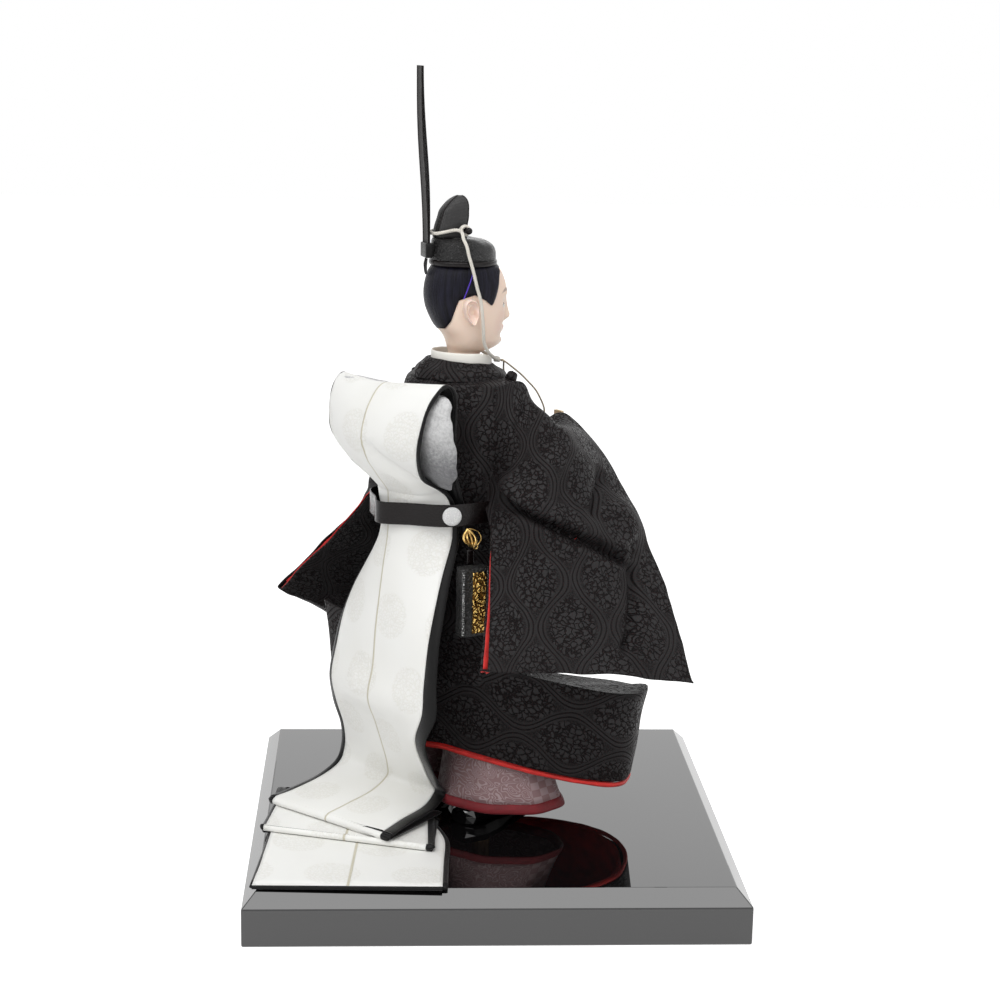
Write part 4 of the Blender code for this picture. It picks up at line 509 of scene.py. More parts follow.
def white_silk(name, colour=(0.905, 0.895, 0.865), medallions=True, seam=False):
    """White figured silk: a fine weave with scattered round flower medallions, painted greyer between their
    leaves as shade, and a seam painted darker and warmer, partly as shade.
    """
    look = Look(name, colour, 0.5, specular=0.35, Sheen_Weight=0.15)
    vector, u, v = look.uv()
    fine = look.times(look.weave(u, v, 0.00050), 0.12)
    slub = look.times(look.noise(vector, 700.0, 2.0), 0.12)
    height = look.add(fine, slub)
    tone = look.span(look.noise(vector, 16.0, 2.0), 0.3, 0.7, 0.0, 0.35)
    if medallions:
        masks = []
        for across, along in ((0.0, 0.0), (0.022, 0.042)):
            du = look.math("WRAP", look.math("SUBTRACT", u, 0.013 + across), 0.022, -0.022)
            dv = look.math("WRAP", look.math("SUBTRACT", v, 0.008 + along), 0.042, -0.042)
            away = look.math("SQRT", look.add(look.times(du, du), look.times(dv, dv)))
            masks.append(look.span(away, 0.0150, 0.0135))
        disc = look.math("MAXIMUM", *masks)
        curled = look.warp(vector, 240.0, 0.0040, 2.0)
        leaves = look.span(look.cells(curled, 420.0), 0.02, 0.20)
        height = look.add(height, look.times(leaves, disc, 0.75))
        # Inside the medallions, the low ground between the raised leaves is painted toward the darker tone:
        # painted shade standing in for the figure's sheen. The noise tone above varies at random.
        tone = look.add(tone, look.times(disc, look.math("SUBTRACT", 1.0, leaves), 0.55))
    shade = tuple(c * s for c, s in zip(colour, (0.90, 0.89, 0.86)))
    look.set("Base Color", look.mix(tone, colour, shade))
    if seam:
        # The seam is painted as a darker, warmer line: painted shade in the seam's groove, together with a warm
        # cream tint.
        line = look.span(look.math("ABSOLUTE", u), 0.0010, 0.0003)
        height = look.math("SUBTRACT", height, look.times(line, 2.2))
        seam_shade_and_tint = look.mix(line, look.mix(tone, colour, shade), (0.62, 0.58, 0.46))
        look.set("Base Color", seam_shade_and_tint)
    look.bump(height, 0.00022, 0.8)
    return look.material


def plain_silk(name, colour, roughness=0.5, pitch=0.0005, specular=0.35, relief=0.00012):
    """Plain silk with a fine weave and uneven thread."""
    look = Look(name, colour, roughness, specular=specular, Sheen_Weight=0.1)
    vector, u, v = look.uv()
    height = look.add(look.times(look.weave(u, v, pitch), 0.5), look.noise(vector, 600.0, 3.0))
    dark = tuple(c * 0.62 for c in colour)
    look.set("Base Color", look.mix(look.span(look.noise(vector, 90.0, 3.0), 0.3, 0.75), colour, dark))
    look.bump(height, relief)
    return look.material


def hakama_silk(name):
    """Pale damask for the trousers: winding contour lines and a chequered stripe."""
    look = Look(name, (0.26, 0.16, 0.17), 0.5, specular=0.35)
    vector, u, v = look.uv()
    hills = look.noise(look.warp(vector, 150.0, 0.003), 135.0, 1.0, 0.5, 0.3)
    lines = look.math("SINE", look.times(hills, 80.0))
    lines = look.times(look.span(lines, 0.0, 0.9), 0.75)
    check = look.node("ShaderNodeTexChecker", Vector=vector, Scale=225.0)
    squares = look.times(check.outputs[1], 0.55)
    stripe = look.math("WRAP", look.math("SUBTRACT", u, 0.004), 0.030, -0.030)
    stripe = look.span(look.math("ABSOLUTE", stripe), 0.0072, 0.0064)
    figure = look.add(look.times(squares, stripe), look.times(lines, look.math("SUBTRACT", 1.0, stripe)))
    look.set("Base Color", look.mix(figure, (0.27, 0.165, 0.17), (0.46, 0.355, 0.36)))
    look.set("Roughness", look.span(figure, 0.0, 1.0, 0.6, 0.38))
    fine = look.add(look.times(look.weave(u, v, 0.00045), 0.3),
                    look.times(look.noise(vector, 900.0, 2.0), 0.4))
    look.bump(look.add(figure, fine), 0.00014)
    return look.material


def hair_look(name):
    """Combed silk hair, blue-black, with fine strands whose paler blue tone is painted sheen."""
    look = Look(name, (0.003, 0.003, 0.006), 0.36, specular=0.13)
    vector = look.uv()[0]
    squash = look.node("ShaderNodeMapping", Vector=vector)
    squash.inputs["Scale"].default_value = (1.0, 0.035, 1.0)
    strands = look.noise(squash.outputs[0], 2600.0, 3.0, 0.6)
    locks = look.noise(squash.outputs[0], 420.0, 2.0, 0.5)
    # The paler blue that the strand noise mixes in is painted sheen on the strands, together with the strands'
    # uneven tone.
    look.set("Base Color", look.mix(look.span(look.add(strands, locks), 0.75, 1.3), (0.0025, 0.0023, 0.0045),
                                    (0.013, 0.0125, 0.024)))
    look.bump(look.add(strands, look.times(locks, 0.8)), 0.00035)
    return look.material


def grained(name, colour, roughness, scale, relief, metallic=0.0, specular=0.5, pale=None, coat=0.0):
    """Leather, lacquered cloth or cast gilt: rounded cells with grooves between them."""
    look = Look(name, colour, roughness, metallic, specular, Coat_Weight=coat, Coat_Roughness=0.12)
    vector = look.place()[0]
    moved = look.warp(vector, scale * 0.7, 0.9 / scale)
    cells = look.span(look.cells(moved, scale), 0.0, 0.25)
    height = look.add(cells, look.times(look.noise(vector, scale * 2.2, 3.0), 0.5))
    if pale is not None:
        look.set("Base Color", look.mix(look.span(height, 0.5, 1.4), colour, pale))
    look.bump(height, relief)
    return look.material


def meshed(name, colour, pale, roughness=0.5):
    """Lacquered gauze: a net of crossing threads."""
    look = Look(name, colour, roughness, specular=0.45)
    vector, x, y, z = look.place()
    step = math.tau / 0.00085
    up = look.math("SINE", look.times(look.add(z, look.times(x, 0.12)), step))
    flat = look.math("SINE", look.times(look.add(x, y), step))
    net = look.math("MAXIMUM", up, flat)
    wear = look.noise(vector, 160.0, 3.0)
    look.set("Base Color", look.mix(look.times(look.span(net, 0.2, 1.0), wear), colour, pale))
    look.bump(look.add(look.span(net, 0.0, 1.0), wear), 0.00012)
    return look.material


def lacquer(name):
    """Black lacquer: a deep gloss with faint dust and a very slight unevenness."""
    look = Look(name, (0.0045, 0.0042, 0.0045), 0.035, specular=0.95)
    vector = look.place()[0]
    dust = look.span(look.noise(vector, 900.0, 2.0), 0.72, 0.80)
    look.set("Roughness", look.add(look.times(look.noise(vector, 14.0, 2.0), 0.035), look.times(dust, 0.08)))
    look.bump(look.noise(vector, 26.0, 1.0), 0.00002, 0.4)
    return look.material


def wood_look(name, colour, dark, scale=260.0):
    """Planed wood with lengthwise grain."""
    look = Look(name, colour, 0.55, specular=0.3)
    vector = look.place()[0]
    stretch = look.node("ShaderNodeMapping", Vector=vector)
    stretch.inputs["Scale"].default_value = (1.0, 1.0, 0.06)
    grain = look.noise(stretch.outputs[0], scale, 4.0, 0.6)
    look.set("Base Color", look.mix(look.span(grain, 0.35, 0.65), dark, colour))
    look.bump(grain, 0.00010)
    return look.material


def straw_look(name):
    """Bound straw: long stalks, painted dark in the gaps between them as shade."""
    look = Look(name, (0.62, 0.50, 0.27), 0.6)
    vector = look.place()[0]
    stretch = look.node("ShaderNodeMapping", Vector=vector)
    stretch.inputs["Scale"].default_value = (1.0, 1.0, 0.04)
    stalk = look.cells(stretch.outputs[0], 420.0)
    # The gaps between stalks take the dark brown as painted shade; the stalks themselves are the paler straw
    # colour.
    look.set("Base Color", look.mix(look.span(stalk, 0.0, 0.3), (0.26, 0.18, 0.08), (0.70, 0.58, 0.33)))
    look.bump(stalk, 0.0008)
    return look.material


def cotton_look(name):
    """Loose cotton wadding, painted darker towards its foot as its shade."""
    look = Look(name, (0.60, 0.60, 0.61), 1.0, specular=0.1, Sheen_Weight=0.4)
    vector, _, _, z = look.place()
    fluff = look.noise(vector, 500.0, 5.0, 0.75)
    # The height term is painted shade: the wadding darkens towards its foot, on top of the random fluff tone.
    tone = look.add(look.times(fluff, 0.8), look.span(z, 0.262, 0.296, -0.25, 0.25))
    look.set("Base Color", look.mix(look.span(tone, 0.1, 0.85), (0.20, 0.20, 0.21), (0.80, 0.80, 0.80)))
    look.bump(fluff, 0.0012)
    return look.material


def gold_look(name):
    """Gilt metal with worn, uneven highlights."""
    look = Look(name, (0.80, 0.53, 0.18), 0.28, 1.0)
    vector = look.place()[0]
    wear = look.noise(vector, 420.0, 3.0)
    look.set("Base Color", look.mix(look.span(wear, 0.35, 0.75), (0.86, 0.60, 0.22), (0.30, 0.17, 0.05)))
    look.set("Roughness", look.span(wear, 0.3, 0.8, 0.18, 0.45))
    look.bump(wear, 0.0002)
    return look.material


def face_look(name):
    """Polished shell-white coating with painted brows, lashes, eyes and lips, by angle and height."""
    base = (0.93, 0.73, 0.60)
    look = Look(name, base, 0.36, specular=0.4, Subsurface_Weight=0.12, Subsurface_Scale=0.004)
    look.shader.inputs["Subsurface Radius"].default_value = (1.0, 0.45, 0.3)
    vector, u, v = look.uv()
    side = look.math("ABSOLUTE", u)

    def spot(across, wide, level, tall, bend=0.0, soft=0.35):
        du = look.math("DIVIDE", look.math("SUBTRACT", side, across), wide)
        arch = look.times(look.times(du, du), bend)
        dv = look.math("DIVIDE", look.math("SUBTRACT", look.add(v, arch), level), tall)
        return look.span(look.add(look.times(du, du), look.times(dv, dv)), 1.0 + soft, 1.0 - soft)

    blush = spot(0.0125, 0.008, 0.3150, 0.008, soft=0.99)
    colour = look.mix(look.times(blush, 0.25), base, (0.80, 0.48, 0.42))
    brow = spot(0.0100, 0.0062, 0.3352, 0.0010, 0.0016, 0.8)
    colour = look.mix(look.times(brow, 0.62), colour, (0.10, 0.075, 0.065))
    white = spot(0.0096, 0.0042, 0.3252, 0.00125, 0.0006, 0.1)
    colour = look.mix(white, colour, (0.78, 0.76, 0.72))
    iris = spot(0.0092, 0.0013, 0.3253, 0.0013, 0.0, 0.1)
    colour = look.mix(look.times(iris, white), colour, (0.018, 0.010, 0.006))
    lid = spot(0.0096, 0.0046, 0.3264, 0.00038, 0.0008, 0.3)
    colour = look.mix(lid, colour, (0.030, 0.018, 0.014))
    lips = look.add(spot(0.0016, 0.0030, 0.3114, 0.0009, 0.0004, 0.3),
                    spot(0.0, 0.0034, 0.3096, 0.0012, 0.0, 0.3))
    lips = look.math("MINIMUM", lips, 1.0)
    colour = look.mix(look.times(lips, 0.8), colour, (0.50, 0.13, 0.11))
    parted = spot(0.0, 0.0036, 0.3106, 0.00022, 0.0, 0.4)
    colour = look.mix(look.times(parted, 0.7), colour, (0.15, 0.03, 0.03))
    look.set("Base Color", colour)
    look.bump(look.noise(vector, 500.0, 2.0), 0.00002)
    return look.material


def rope_look(name, colour, dark, relief=0.0002):
    """Twisted cord fibre, painted darker in the twist's grooves as their shade."""
    look = Look(name, colour, 0.7, specular=0.25, Sheen_Weight=0.2)
    vector, u, v = look.uv()
    twist = look.math("SINE", look.times(look.add(u, v), math.tau / 0.0009))
    fibre = look.noise(vector, 1500.0, 2.0)
    # The twist's grooves take the darker colour as painted shade; the fibre noise adds uneven tone.
    look.set("Base Color", look.mix(look.span(look.add(twist, fibre), -0.6, 0.9), dark, colour))
    look.bump(look.add(twist, fibre), relief, 0.6)
    return look.material


def make_looks():
    """All materials."""
    return {
        "lacquer": lacquer("lacquer"),
        "shoe": lacquer("shoe_lacquer"),
        "damask": damask("damask"),
        "red": plain_silk("red", (0.76, 0.030, 0.025)),
        "dark_red": plain_silk("dark_red", (0.20, 0.006, 0.012)),
        "silk": white_silk("white_silk", (0.90, 0.90, 0.875), seam=True),
        "collar": white_silk("collar_silk", (0.90, 0.88, 0.82), medallions=False),
        "satin": plain_silk("satin", (0.0020, 0.0018, 0.0020), 0.30, 0.0006, 0.14, 0.00010),
        "hakama": hakama_silk("pale_damask"),
        "cotton": cotton_look("cotton"),
        "leather": grained("leather", (0.0030, 0.0016, 0.0016), 0.13, 900.0, 0.00005, specular=0.22,
                           pale=(0.008, 0.004, 0.004)),
        "shagreen": grained("shagreen", (0.0035, 0.0035, 0.0035), 0.32, 620.0, 0.0006,
                            pale=(0.020, 0.019, 0.018)),
        "edge": grained("case_edge", (0.010, 0.010, 0.010), 0.4, 900.0, 0.0008, pale=(0.75, 0.75, 0.74)),
        "gold": gold_look("gold"),
        "relief": grained("gilt_relief", (0.11, 0.05, 0.01), 0.26, 330.0, 0.0010, 1.0,
                          pale=(0.92, 0.62, 0.20)),
        "stone": grained("stone", (0.72, 0.72, 0.72), 0.25, 900.0, 0.00022, pale=(0.86, 0.86, 0.85)),
        "hair": hair_look("hair"),
        "cap": grained("cap_black", (0.0040, 0.0036, 0.0038), 0.20, 760.0, 0.00040, specular=0.36,
                       pale=(0.016, 0.015, 0.016)),
        "net": meshed("koji_net", (0.0040, 0.0036, 0.0038), (0.060, 0.058, 0.058)),
        "gauze": meshed("gauze", (0.0045, 0.0035, 0.0035), (0.020, 0.016, 0.014), 0.6),
        "face": face_look("face"),
        "skin": Look("skin", (0.90, 0.71, 0.61), 0.36, specular=0.4, Subsurface_Weight=0.12,
                     Subsurface_Scale=0.004).material,
        "silk_cord": rope_look("silk_cord", (0.93, 0.90, 0.84), (0.66, 0.60, 0.50)),
        "thin_cord": rope_look("thin_cord", (0.72, 0.62, 0.47), (0.45, 0.36, 0.24)),
        "black_cord": rope_look("black_cord", (0.02, 0.02, 0.02), (0.005, 0.005, 0.005)),
        "purple": rope_look("purple_cord", (0.12, 0.05, 0.66), (0.05, 0.02, 0.30)),
        "wood": wood_look("wood", (0.60, 0.42, 0.24), (0.36, 0.22, 0.11)),
        "pale_wood": wood_look("pale_wood", (0.80, 0.67, 0.45), (0.62, 0.46, 0.26), 420.0),
        "straw": straw_look("straw"),
        "steel": grained("steel", (0.50, 0.50, 0.52), 0.35, 1200.0, 0.00003, 1.0),
    }


# Robe

BODY_DEPTH = 0.034
BODY_WIDTH = 0.044
BELT_HEIGHT = 0.203
SEAM_HEIGHT = 0.115
SEAM_TILT = 0.20
FAR_TILT = 0.36


def board_place(x, y):
    """Board coordinates of a place in the doll's frame."""
    c, s = math.cos(CHEST_TURN), math.sin(CHEST_TURN)
    return ORIGIN_X + x * c - y * s, ORIGIN_Y + x * s + y * c


def from_board(x, y):
    """The doll's own coordinates of a place on the board."""
    c, s = math.cos(CHEST_TURN), math.sin(CHEST_TURN)
    return (x - ORIGIN_X) * c + (y - ORIGIN_Y) * s, -(x - ORIGIN_X) * s + (y - ORIGIN_Y) * c


def band_seam(x, y):
    """Height of the seam over the hem band at a place in the doll's frame."""
    return SEAM_HEIGHT - SEAM_TILT * (board_place(x, y)[0] - ORIGIN_X)


def far_drop(grid):
    """How far the skirt sinks at each point on its far side."""
    return FAR_TILT * np.maximum(0.0, grid[:, :, 1] + 0.030) * eased((grid[:, :, 0] + 0.07) / 0.04)


def build_robe(looks):
    """The robe's body from its neck to the hem band."""
    lower = ((0.00, 1.20, 1.17, 1.24), (0.30, 1.14, 1.11, 1.12), (0.62, 1.04, 1.02, 1.02),
             (0.84, 1.0, 1.0, 1.0))
    upper = ((0.0, 1.0, 1.0, 1.0), (0.45, 0.98, 1.0, 1.02), (0.70, 0.95, 0.98, 1.03), (0.86, 0.92, 0.97, 1.0),
             (0.95, 0.84, 0.96, 0.94), (1.0, 0.68, 0.90, 0.82), (1.028, 0.44, 0.60, 0.39))
    rows = []
    sides = 96
    for table, foot, head in ((lower, None, BELT_HEIGHT), (upper, BELT_HEIGHT, 0.2815)):
        for rise, front, back, wide in table:
            row = []
            for angle in turns(sides):
                deep = between(front, back, angle, 4.0)
                x = deep * BODY_DEPTH * math.cos(angle)
                y = wide * BODY_WIDTH * math.sin(angle)
                low = band_seam(x, y) - 0.018 if foot is None else foot
                row.append((x, y, low + rise * (head - low)))
            rows.append(row)
    grid = put(spline(np.array(rows), 5, even=False), CHEST)
    grid[:, :, 2] -= far_drop(grid) * np.clip((0.225 - grid[:, :, 2]) / 0.07, 0.0, 1.0)
    grid = crease(grid, True, [(-26.3, -41.0, 305.1), (-23.7, -43.0, 292.0), (-22.2, -44.0, 268.9),
                               (-18.4, -44.9, 252.4)], 0.0011, 0.0011, 1.6, 0.1)
    grid = crease(grid, True, [(-6.0, -44.0, 296.0), (-10.0, -45.0, 280.0), (-12.0, -46.0, 262.0),
                               (-14.0, -45.0, 246.0)], -0.0022, 0.007, 2.0, 0.3)
    grid = rough(grid, True, 0.022, 0.0009, 3.0)
    made = cloth("robe", grid, looks["damask"], closed=True, nodes=["robe_body"])


def band_loop(reach, inset, sides):
    """Plan of the hem band around the hips, pointed at its two side flaps."""
    turn = HIP_TURN - CHEST_TURN
    loop = []
    for angle in turns(sides):
        side = math.cos(angle) * reach + 0.015
        bulge = squared(math.sin(angle), 0.8)
        slim = 1.0 - 0.62 * max(0.0, -0.3 - math.cos(angle)) / 0.7
        ahead = bulge * ((0.060 if bulge > 0.0 else 0.042 * slim) - inset)
        loop.append((ahead * math.cos(turn) + side * math.sin(turn),
                     ahead * math.sin(turn) - side * math.cos(turn)))
    return loop


def waist_point(point):
    """Where the band's turned-in top meets the robe's foot."""
    angle = math.atan2(point[1] / BODY_WIDTH, point[0] / BODY_DEPTH)
    x = 1.10 * BODY_DEPTH * math.cos(angle)
    y = 1.10 * BODY_WIDTH * math.sin(angle)
    room = min(1.0, (math.hypot(point[0], point[1]) - 0.005) / math.hypot(x, y))
    return x * room, y * room, band_seam(x * room, y * room)


def band_grid(inset, tip_inset, drop, extra, sides=128):
    """Rows of the hem band from its turned-in top down to its hem."""
    rows = []
    for fall, share in ((0.0, 1.04), (0.33, 1.0), (0.66, 0.985), (1.0, 0.95)):
        loop = band_loop(0.103 * share - tip_inset, inset, sides)
        depth = drop + fall * (0.062 + extra - drop)
        rows.append([(x, y, band_seam(x, y) - depth) for x, y in loop])
    waist = [waist_point(p) for p in rows[0]]
    waist = [(x, y, z - drop - 0.016) for x, y, z in waist]
    rows.insert(0, [tuple((a + b) / 2 for a, b in zip(p, w)) for p, w in zip(rows[0], waist)])
    rows.insert(0, waist)
    rows = np.array(rows)
    top = spline(rows[:3], 4, even=False)
    wall = spline(rows[2:], 7, even=False)
    grid = put(np.concatenate([top, wall[1:]]), CHEST)
    fade = np.interp(np.arange(len(grid)), (0, len(top), len(grid) - 1), (1.0, 1.0, 0.5))[:, None]
    grid[:, :, 2] -= far_drop(grid) * fade
    fall = np.interp(np.arange(len(grid)), (len(top), len(grid) - 1), (0.0, 1.0))[:, None]
    grid[:, :, 2] -= 0.0085 * np.clip((-0.030 - grid[:, :, 0]) / 0.045, 0.0, 1.0) * fall
    return grid[::-1]


def build_band(looks):
    """The hem band and its red lining, which shows along the hem."""
    outer = rough(band_grid(0.0, 0.0, 0.0012, 0.0), True, 0.030, 0.0012, 7.0)
    ring = np.concatenate([outer, outer[:, :1]], axis=1)
    uv = grid_uv(ring)[:, ::-1] + (0.009, 0.0)
    band = cloth("hem_band_cloth", outer, looks["damask"], closed=True, nodes=["hem_band"],
                 thick=0.0012, uvs=uv)
    inner = band_grid(0.0016, 0.005, 0.0028, 0.0024)[:-9]
    lining = cloth("hem_lining_cloth", inner, looks["red"], closed=True, nodes=["hem_band_lining"],
                   thick=0.0007)
    hem = band_grid(0.0009, 0.0015, 0.0012, 0.0022)[0]
    path = np.concatenate([hem, hem[:2]])
    wobble = np.array([noise.noise(Vector(p) * 90.0) for p in path])
    roll = tube("hem_roll", path, 0.0014 + 0.0004 * wobble, looks["red"], DOLL, 10)


# Sleeves

OUTER = (
    ((-0.12, 0.345, 1.033), (-0.17, 0.372, 0.95), (-0.22, 0.395, 0.83), (-0.38, 0.51, 0.70),
     (-0.59, 0.67, 0.588), (-0.79, 0.815, 0.489)),
    ((0.17, 0.315, 1.033), (0.10, 0.44, 0.95), (-0.06, 0.54, 0.84), (-0.14, 0.64, 0.72),
     (-0.21, 0.75, 0.588), (-0.25, 0.862, 0.463)),
    ((0.34, 0.30, 0.92), (0.31, 0.385, 0.965), (0.27, 0.50, 0.93), (0.18, 0.60, 0.83), (0.12, 0.69, 0.72),
     (0.08, 0.79, 0.588), (0.07, 0.90, 0.445)),
    ((0.50, 0.20, 0.885), (0.42, 0.415, 0.938), (0.42, 0.53, 0.90), (0.37, 0.63, 0.83), (0.35, 0.715, 0.72),
     (0.35, 0.82, 0.58), (0.37, 0.931, 0.426)),
    ((0.78, 0.035, 0.882), (0.84, 0.17, 0.917), (0.87, 0.33, 0.885), (0.87, 0.50, 0.824), (0.91, 0.66, 0.71),
     (0.95, 0.83, 0.55), (0.96, 1.00, 0.379)))
INNER = (
    ((-0.05, 0.365, 0.85), (-0.08, 0.475, 0.728), (-0.42, 0.645, 0.588), (-0.74, 0.745, 0.462)),
    ((0.175, 0.355, 0.831), (0.18, 0.475, 0.728), (0.0, 0.645, 0.588), (-0.20, 0.80, 0.445)),
    ((0.33, 0.29, 0.86), (0.35, 0.31, 0.78), (0.32, 0.50, 0.70), (0.24, 0.69, 0.57), (0.12, 0.83, 0.43)),
    ((0.485, 0.185, 0.865), (0.49, 0.20, 0.787), (0.58, 0.42, 0.706), (0.475, 0.675, 0.574),
     (0.40, 0.865, 0.410)),
    ((0.70, 0.015, 0.868), (0.715, 0.01, 0.785), (0.92, 0.32, 0.691), (0.96, 0.615, 0.559),
     (0.965, 0.925, 0.365)))
SLEEVE_SCALE = np.array([0.080, 0.130, 0.272])


def eased(value):
    """A smooth step from 0 to 1."""
    value = np.clip(value, 0.0, 1.0)
    return value * value * (3.0 - 2.0 * value)


OUTER_COLUMNS = 88
ROWS = 90


def sleeve_grid(sign, drop):
    """One line over the outer layer and back up the inner one at each station, rear to mouth."""
    scale = SLEEVE_SCALE * (1.0, sign, 1.0)
    lines = []
    for front, back in zip(OUTER, INNER):
        down = spline(np.array(front) * scale, OUTER_COLUMNS)
        up = spline(np.array([front[-1]] + list(back[::-1])) * scale, 72)
        lines.append(np.concatenate([down, up[1:]]))
    lines = np.array(lines)
    grid = np.stack([spline(lines[:, j], ROWS) for j in range(lines.shape[1])], axis=1)
    along = np.linspace(0.0, 1.0, ROWS)[:, None]
    foot = grid[:, OUTER_COLUMNS - 1:OUTER_COLUMNS, 2]
    grid[:, OUTER_COLUMNS:, 2] = np.maximum(grid[:, OUTER_COLUMNS:, 2], foot + 0.0002)
    low = np.clip((0.80 - grid[:, :, 2] / 0.272) / 0.45, 0.0, 1.0)
    grid[:, :, 2] -= drop * along * low
    rear = eased(1.0 - along / 0.30)
    outer = grid[:, :OUTER_COLUMNS]
    away = np.array((math.sin(CHEST_TURN), math.cos(CHEST_TURN)))
    beside = np.array((-math.cos(CHEST_TURN), math.sin(CHEST_TURN)))
    for j in range(OUTER_COLUMNS, grid.shape[1]):
        level = grid[:, j, 2]
        for i in range(28):
            order = np.argsort(outer[i, :, 2])
            match = np.array([np.interp(level[i], outer[i, order, 2], outer[i, order, k]) for k in range(2)])
            open_by = 0.0052 * np.clip((0.189 - level[i]) / 0.059, 0.0, 1.0) if sign < 0.0 else 0.0028
            gap = -sign * (away * 0.0056 + beside * open_by)
            share = rear[i, 0] * float(eased((0.262 - level[i]) / 0.02))
            grid[i, j, :2] += (match + gap - grid[i, j, :2]) * share
    angle = np.arctan2(grid[:, :, 1] / BODY_WIDTH, grid[:, :, 0] / BODY_DEPTH)
    body = np.stack([0.97 * BODY_DEPTH * np.cos(angle), 0.99 * BODY_WIDTH * np.sin(angle)], axis=2)
    tuck = eased(1.0 - along / 0.16) * eased((grid[:, :, 2] - 0.196) / 0.022)
    grid[:, :, :2] += (body - grid[:, :, :2]) * tuck[..., None]
    grid = put(grid, CHEST)
    if sign < 0.0:
        low = eased((0.235 - (grid[:, :, 2] - BOARD_TOP)) / 0.10)
        grid[:, :, 2] -= low * (0.0032 * along + 0.0060 * (1.0 - along))
        grid[:, :, 0] += low * along * 0.0040
    else:
        low = eased((0.225 - (grid[:, :, 2] - BOARD_TOP)) / 0.09)
        grid[:, :, 2] -= low * (0.0010 + 0.030 * np.minimum(along, 0.45))
        grid[:, :, 0] -= low * (1.0 - along) * 0.0045
    return grid


FOLDS = (
    ([(-4, -57, 262), (3.7, -63.6, 251.8), (18.3, -71.6, 243.4), (37.8, -70.7, 234.1), (48.9, -69.0, 228.2),
      (61.7, -63.3, 221.2), (81.6, -52.3, 207.9)], 0.0110, 0.0040, 1.2, 0.08, 0.0070),
    ([(55.4, -62.1, 233.9), (60.3, -52.2, 245.3), (64.3, -39.2, 254.8), (66.0, -27.1, 261.0)], 0.0080, 0.0042,
     1.3, 0.25,
     0.0),
    ([(55.4, -62.1, 233.9), (59.8, -62.5, 226.0), (75.2, -52.1, 218.5), (88.6, -44.7, 209.1)], 0.0035, 0.0030,
     1.3, 0.3,
     0.0),
    ([(81.6, -52.3, 207.9), (84.7, -56.2, 196.3), (83.4, -68.1, 175.6), (76.4, -81.4, 156.3)], 0.0080, 0.0034,
     1.3, 0.1,
     0.0),
    ([(17.4, -38.2, 303.8), (9.7, -48.8, 290.4), (0.7, -55.1, 273.2), (-2.7, -57.2, 259.5)], 0.0026, 0.0016,
     1.5, 0.08,
     0.0),
    ([(-3.0, -59.0, 257.0), (3.7, -63.6, 251.8), (18.3, -71.6, 243.4), (37.8, -70.7, 234.1)], 0.0045, 0.0026,
     1.2, 0.05,
     0.0030),
    ([(5.0, -66.0, 243.0), (19.0, -74.5, 235.0), (38.5, -74.0, 225.5), (50.0, -72.5, 219.0),
      (62.5, -67.0, 212.0),
      (80.0, -56.0, 200.0)], -0.0036, 0.0042, 1.6, 0.12, 0.0),
    ([(22, -58, 276), (36, -60, 268), (46, -58, 260)], -0.0060, 0.016, 2.0, 0.4, 0.0),
    ([(70, -40, 250), (82, -42, 232), (92, -42, 214)], -0.0060, 0.014, 2.0, 0.4, 0.0),
    ([(5, -72, 235), (12, -78, 212), (18, -84, 190)], 0.0016, 0.009, 2.0, 0.4, 0.0),
    ([(30, -78, 226), (40, -82, 205), (44, -86, 180)], -0.0022, 0.010, 2.0, 0.4, 0.0))


def fold(grid, line, depth, width, sharp, taper, lip):
    """A crease whose upper side swells over its lower side by a lip."""
    path = spline(np.array(line, float) * 0.001, 30)
    gap, place = distance_to(grid, path)
    fade = eased(np.minimum(place, 1.0 - place) / taper)
    out = normals(grid)
    run = np.linspace(0.0, 1.0, len(path))
    level = np.interp(place, run, path[:, 2])
    above = eased((grid[:, :, 2] - level) / 0.0030 + 0.5)
    press = depth * np.exp(-(gap / width) ** sharp) * (1.0 - 0.75 * above * (lip > 0.0))
    swell = lip * np.exp(-(gap / 0.012) ** 2) * above
    return grid - out * ((press - swell) * fade)[..., None]


def mirrored(line):
    """The same line on the other sleeve."""
    spot = Matrix(CHEST)
    points = [spot.inverted() @ Vector([v * 0.001 for v in p]) for p in line]
    return [tuple(1000.0 * v for v in spot @ Vector((p.x, -p.y, p.z))) for p in points]


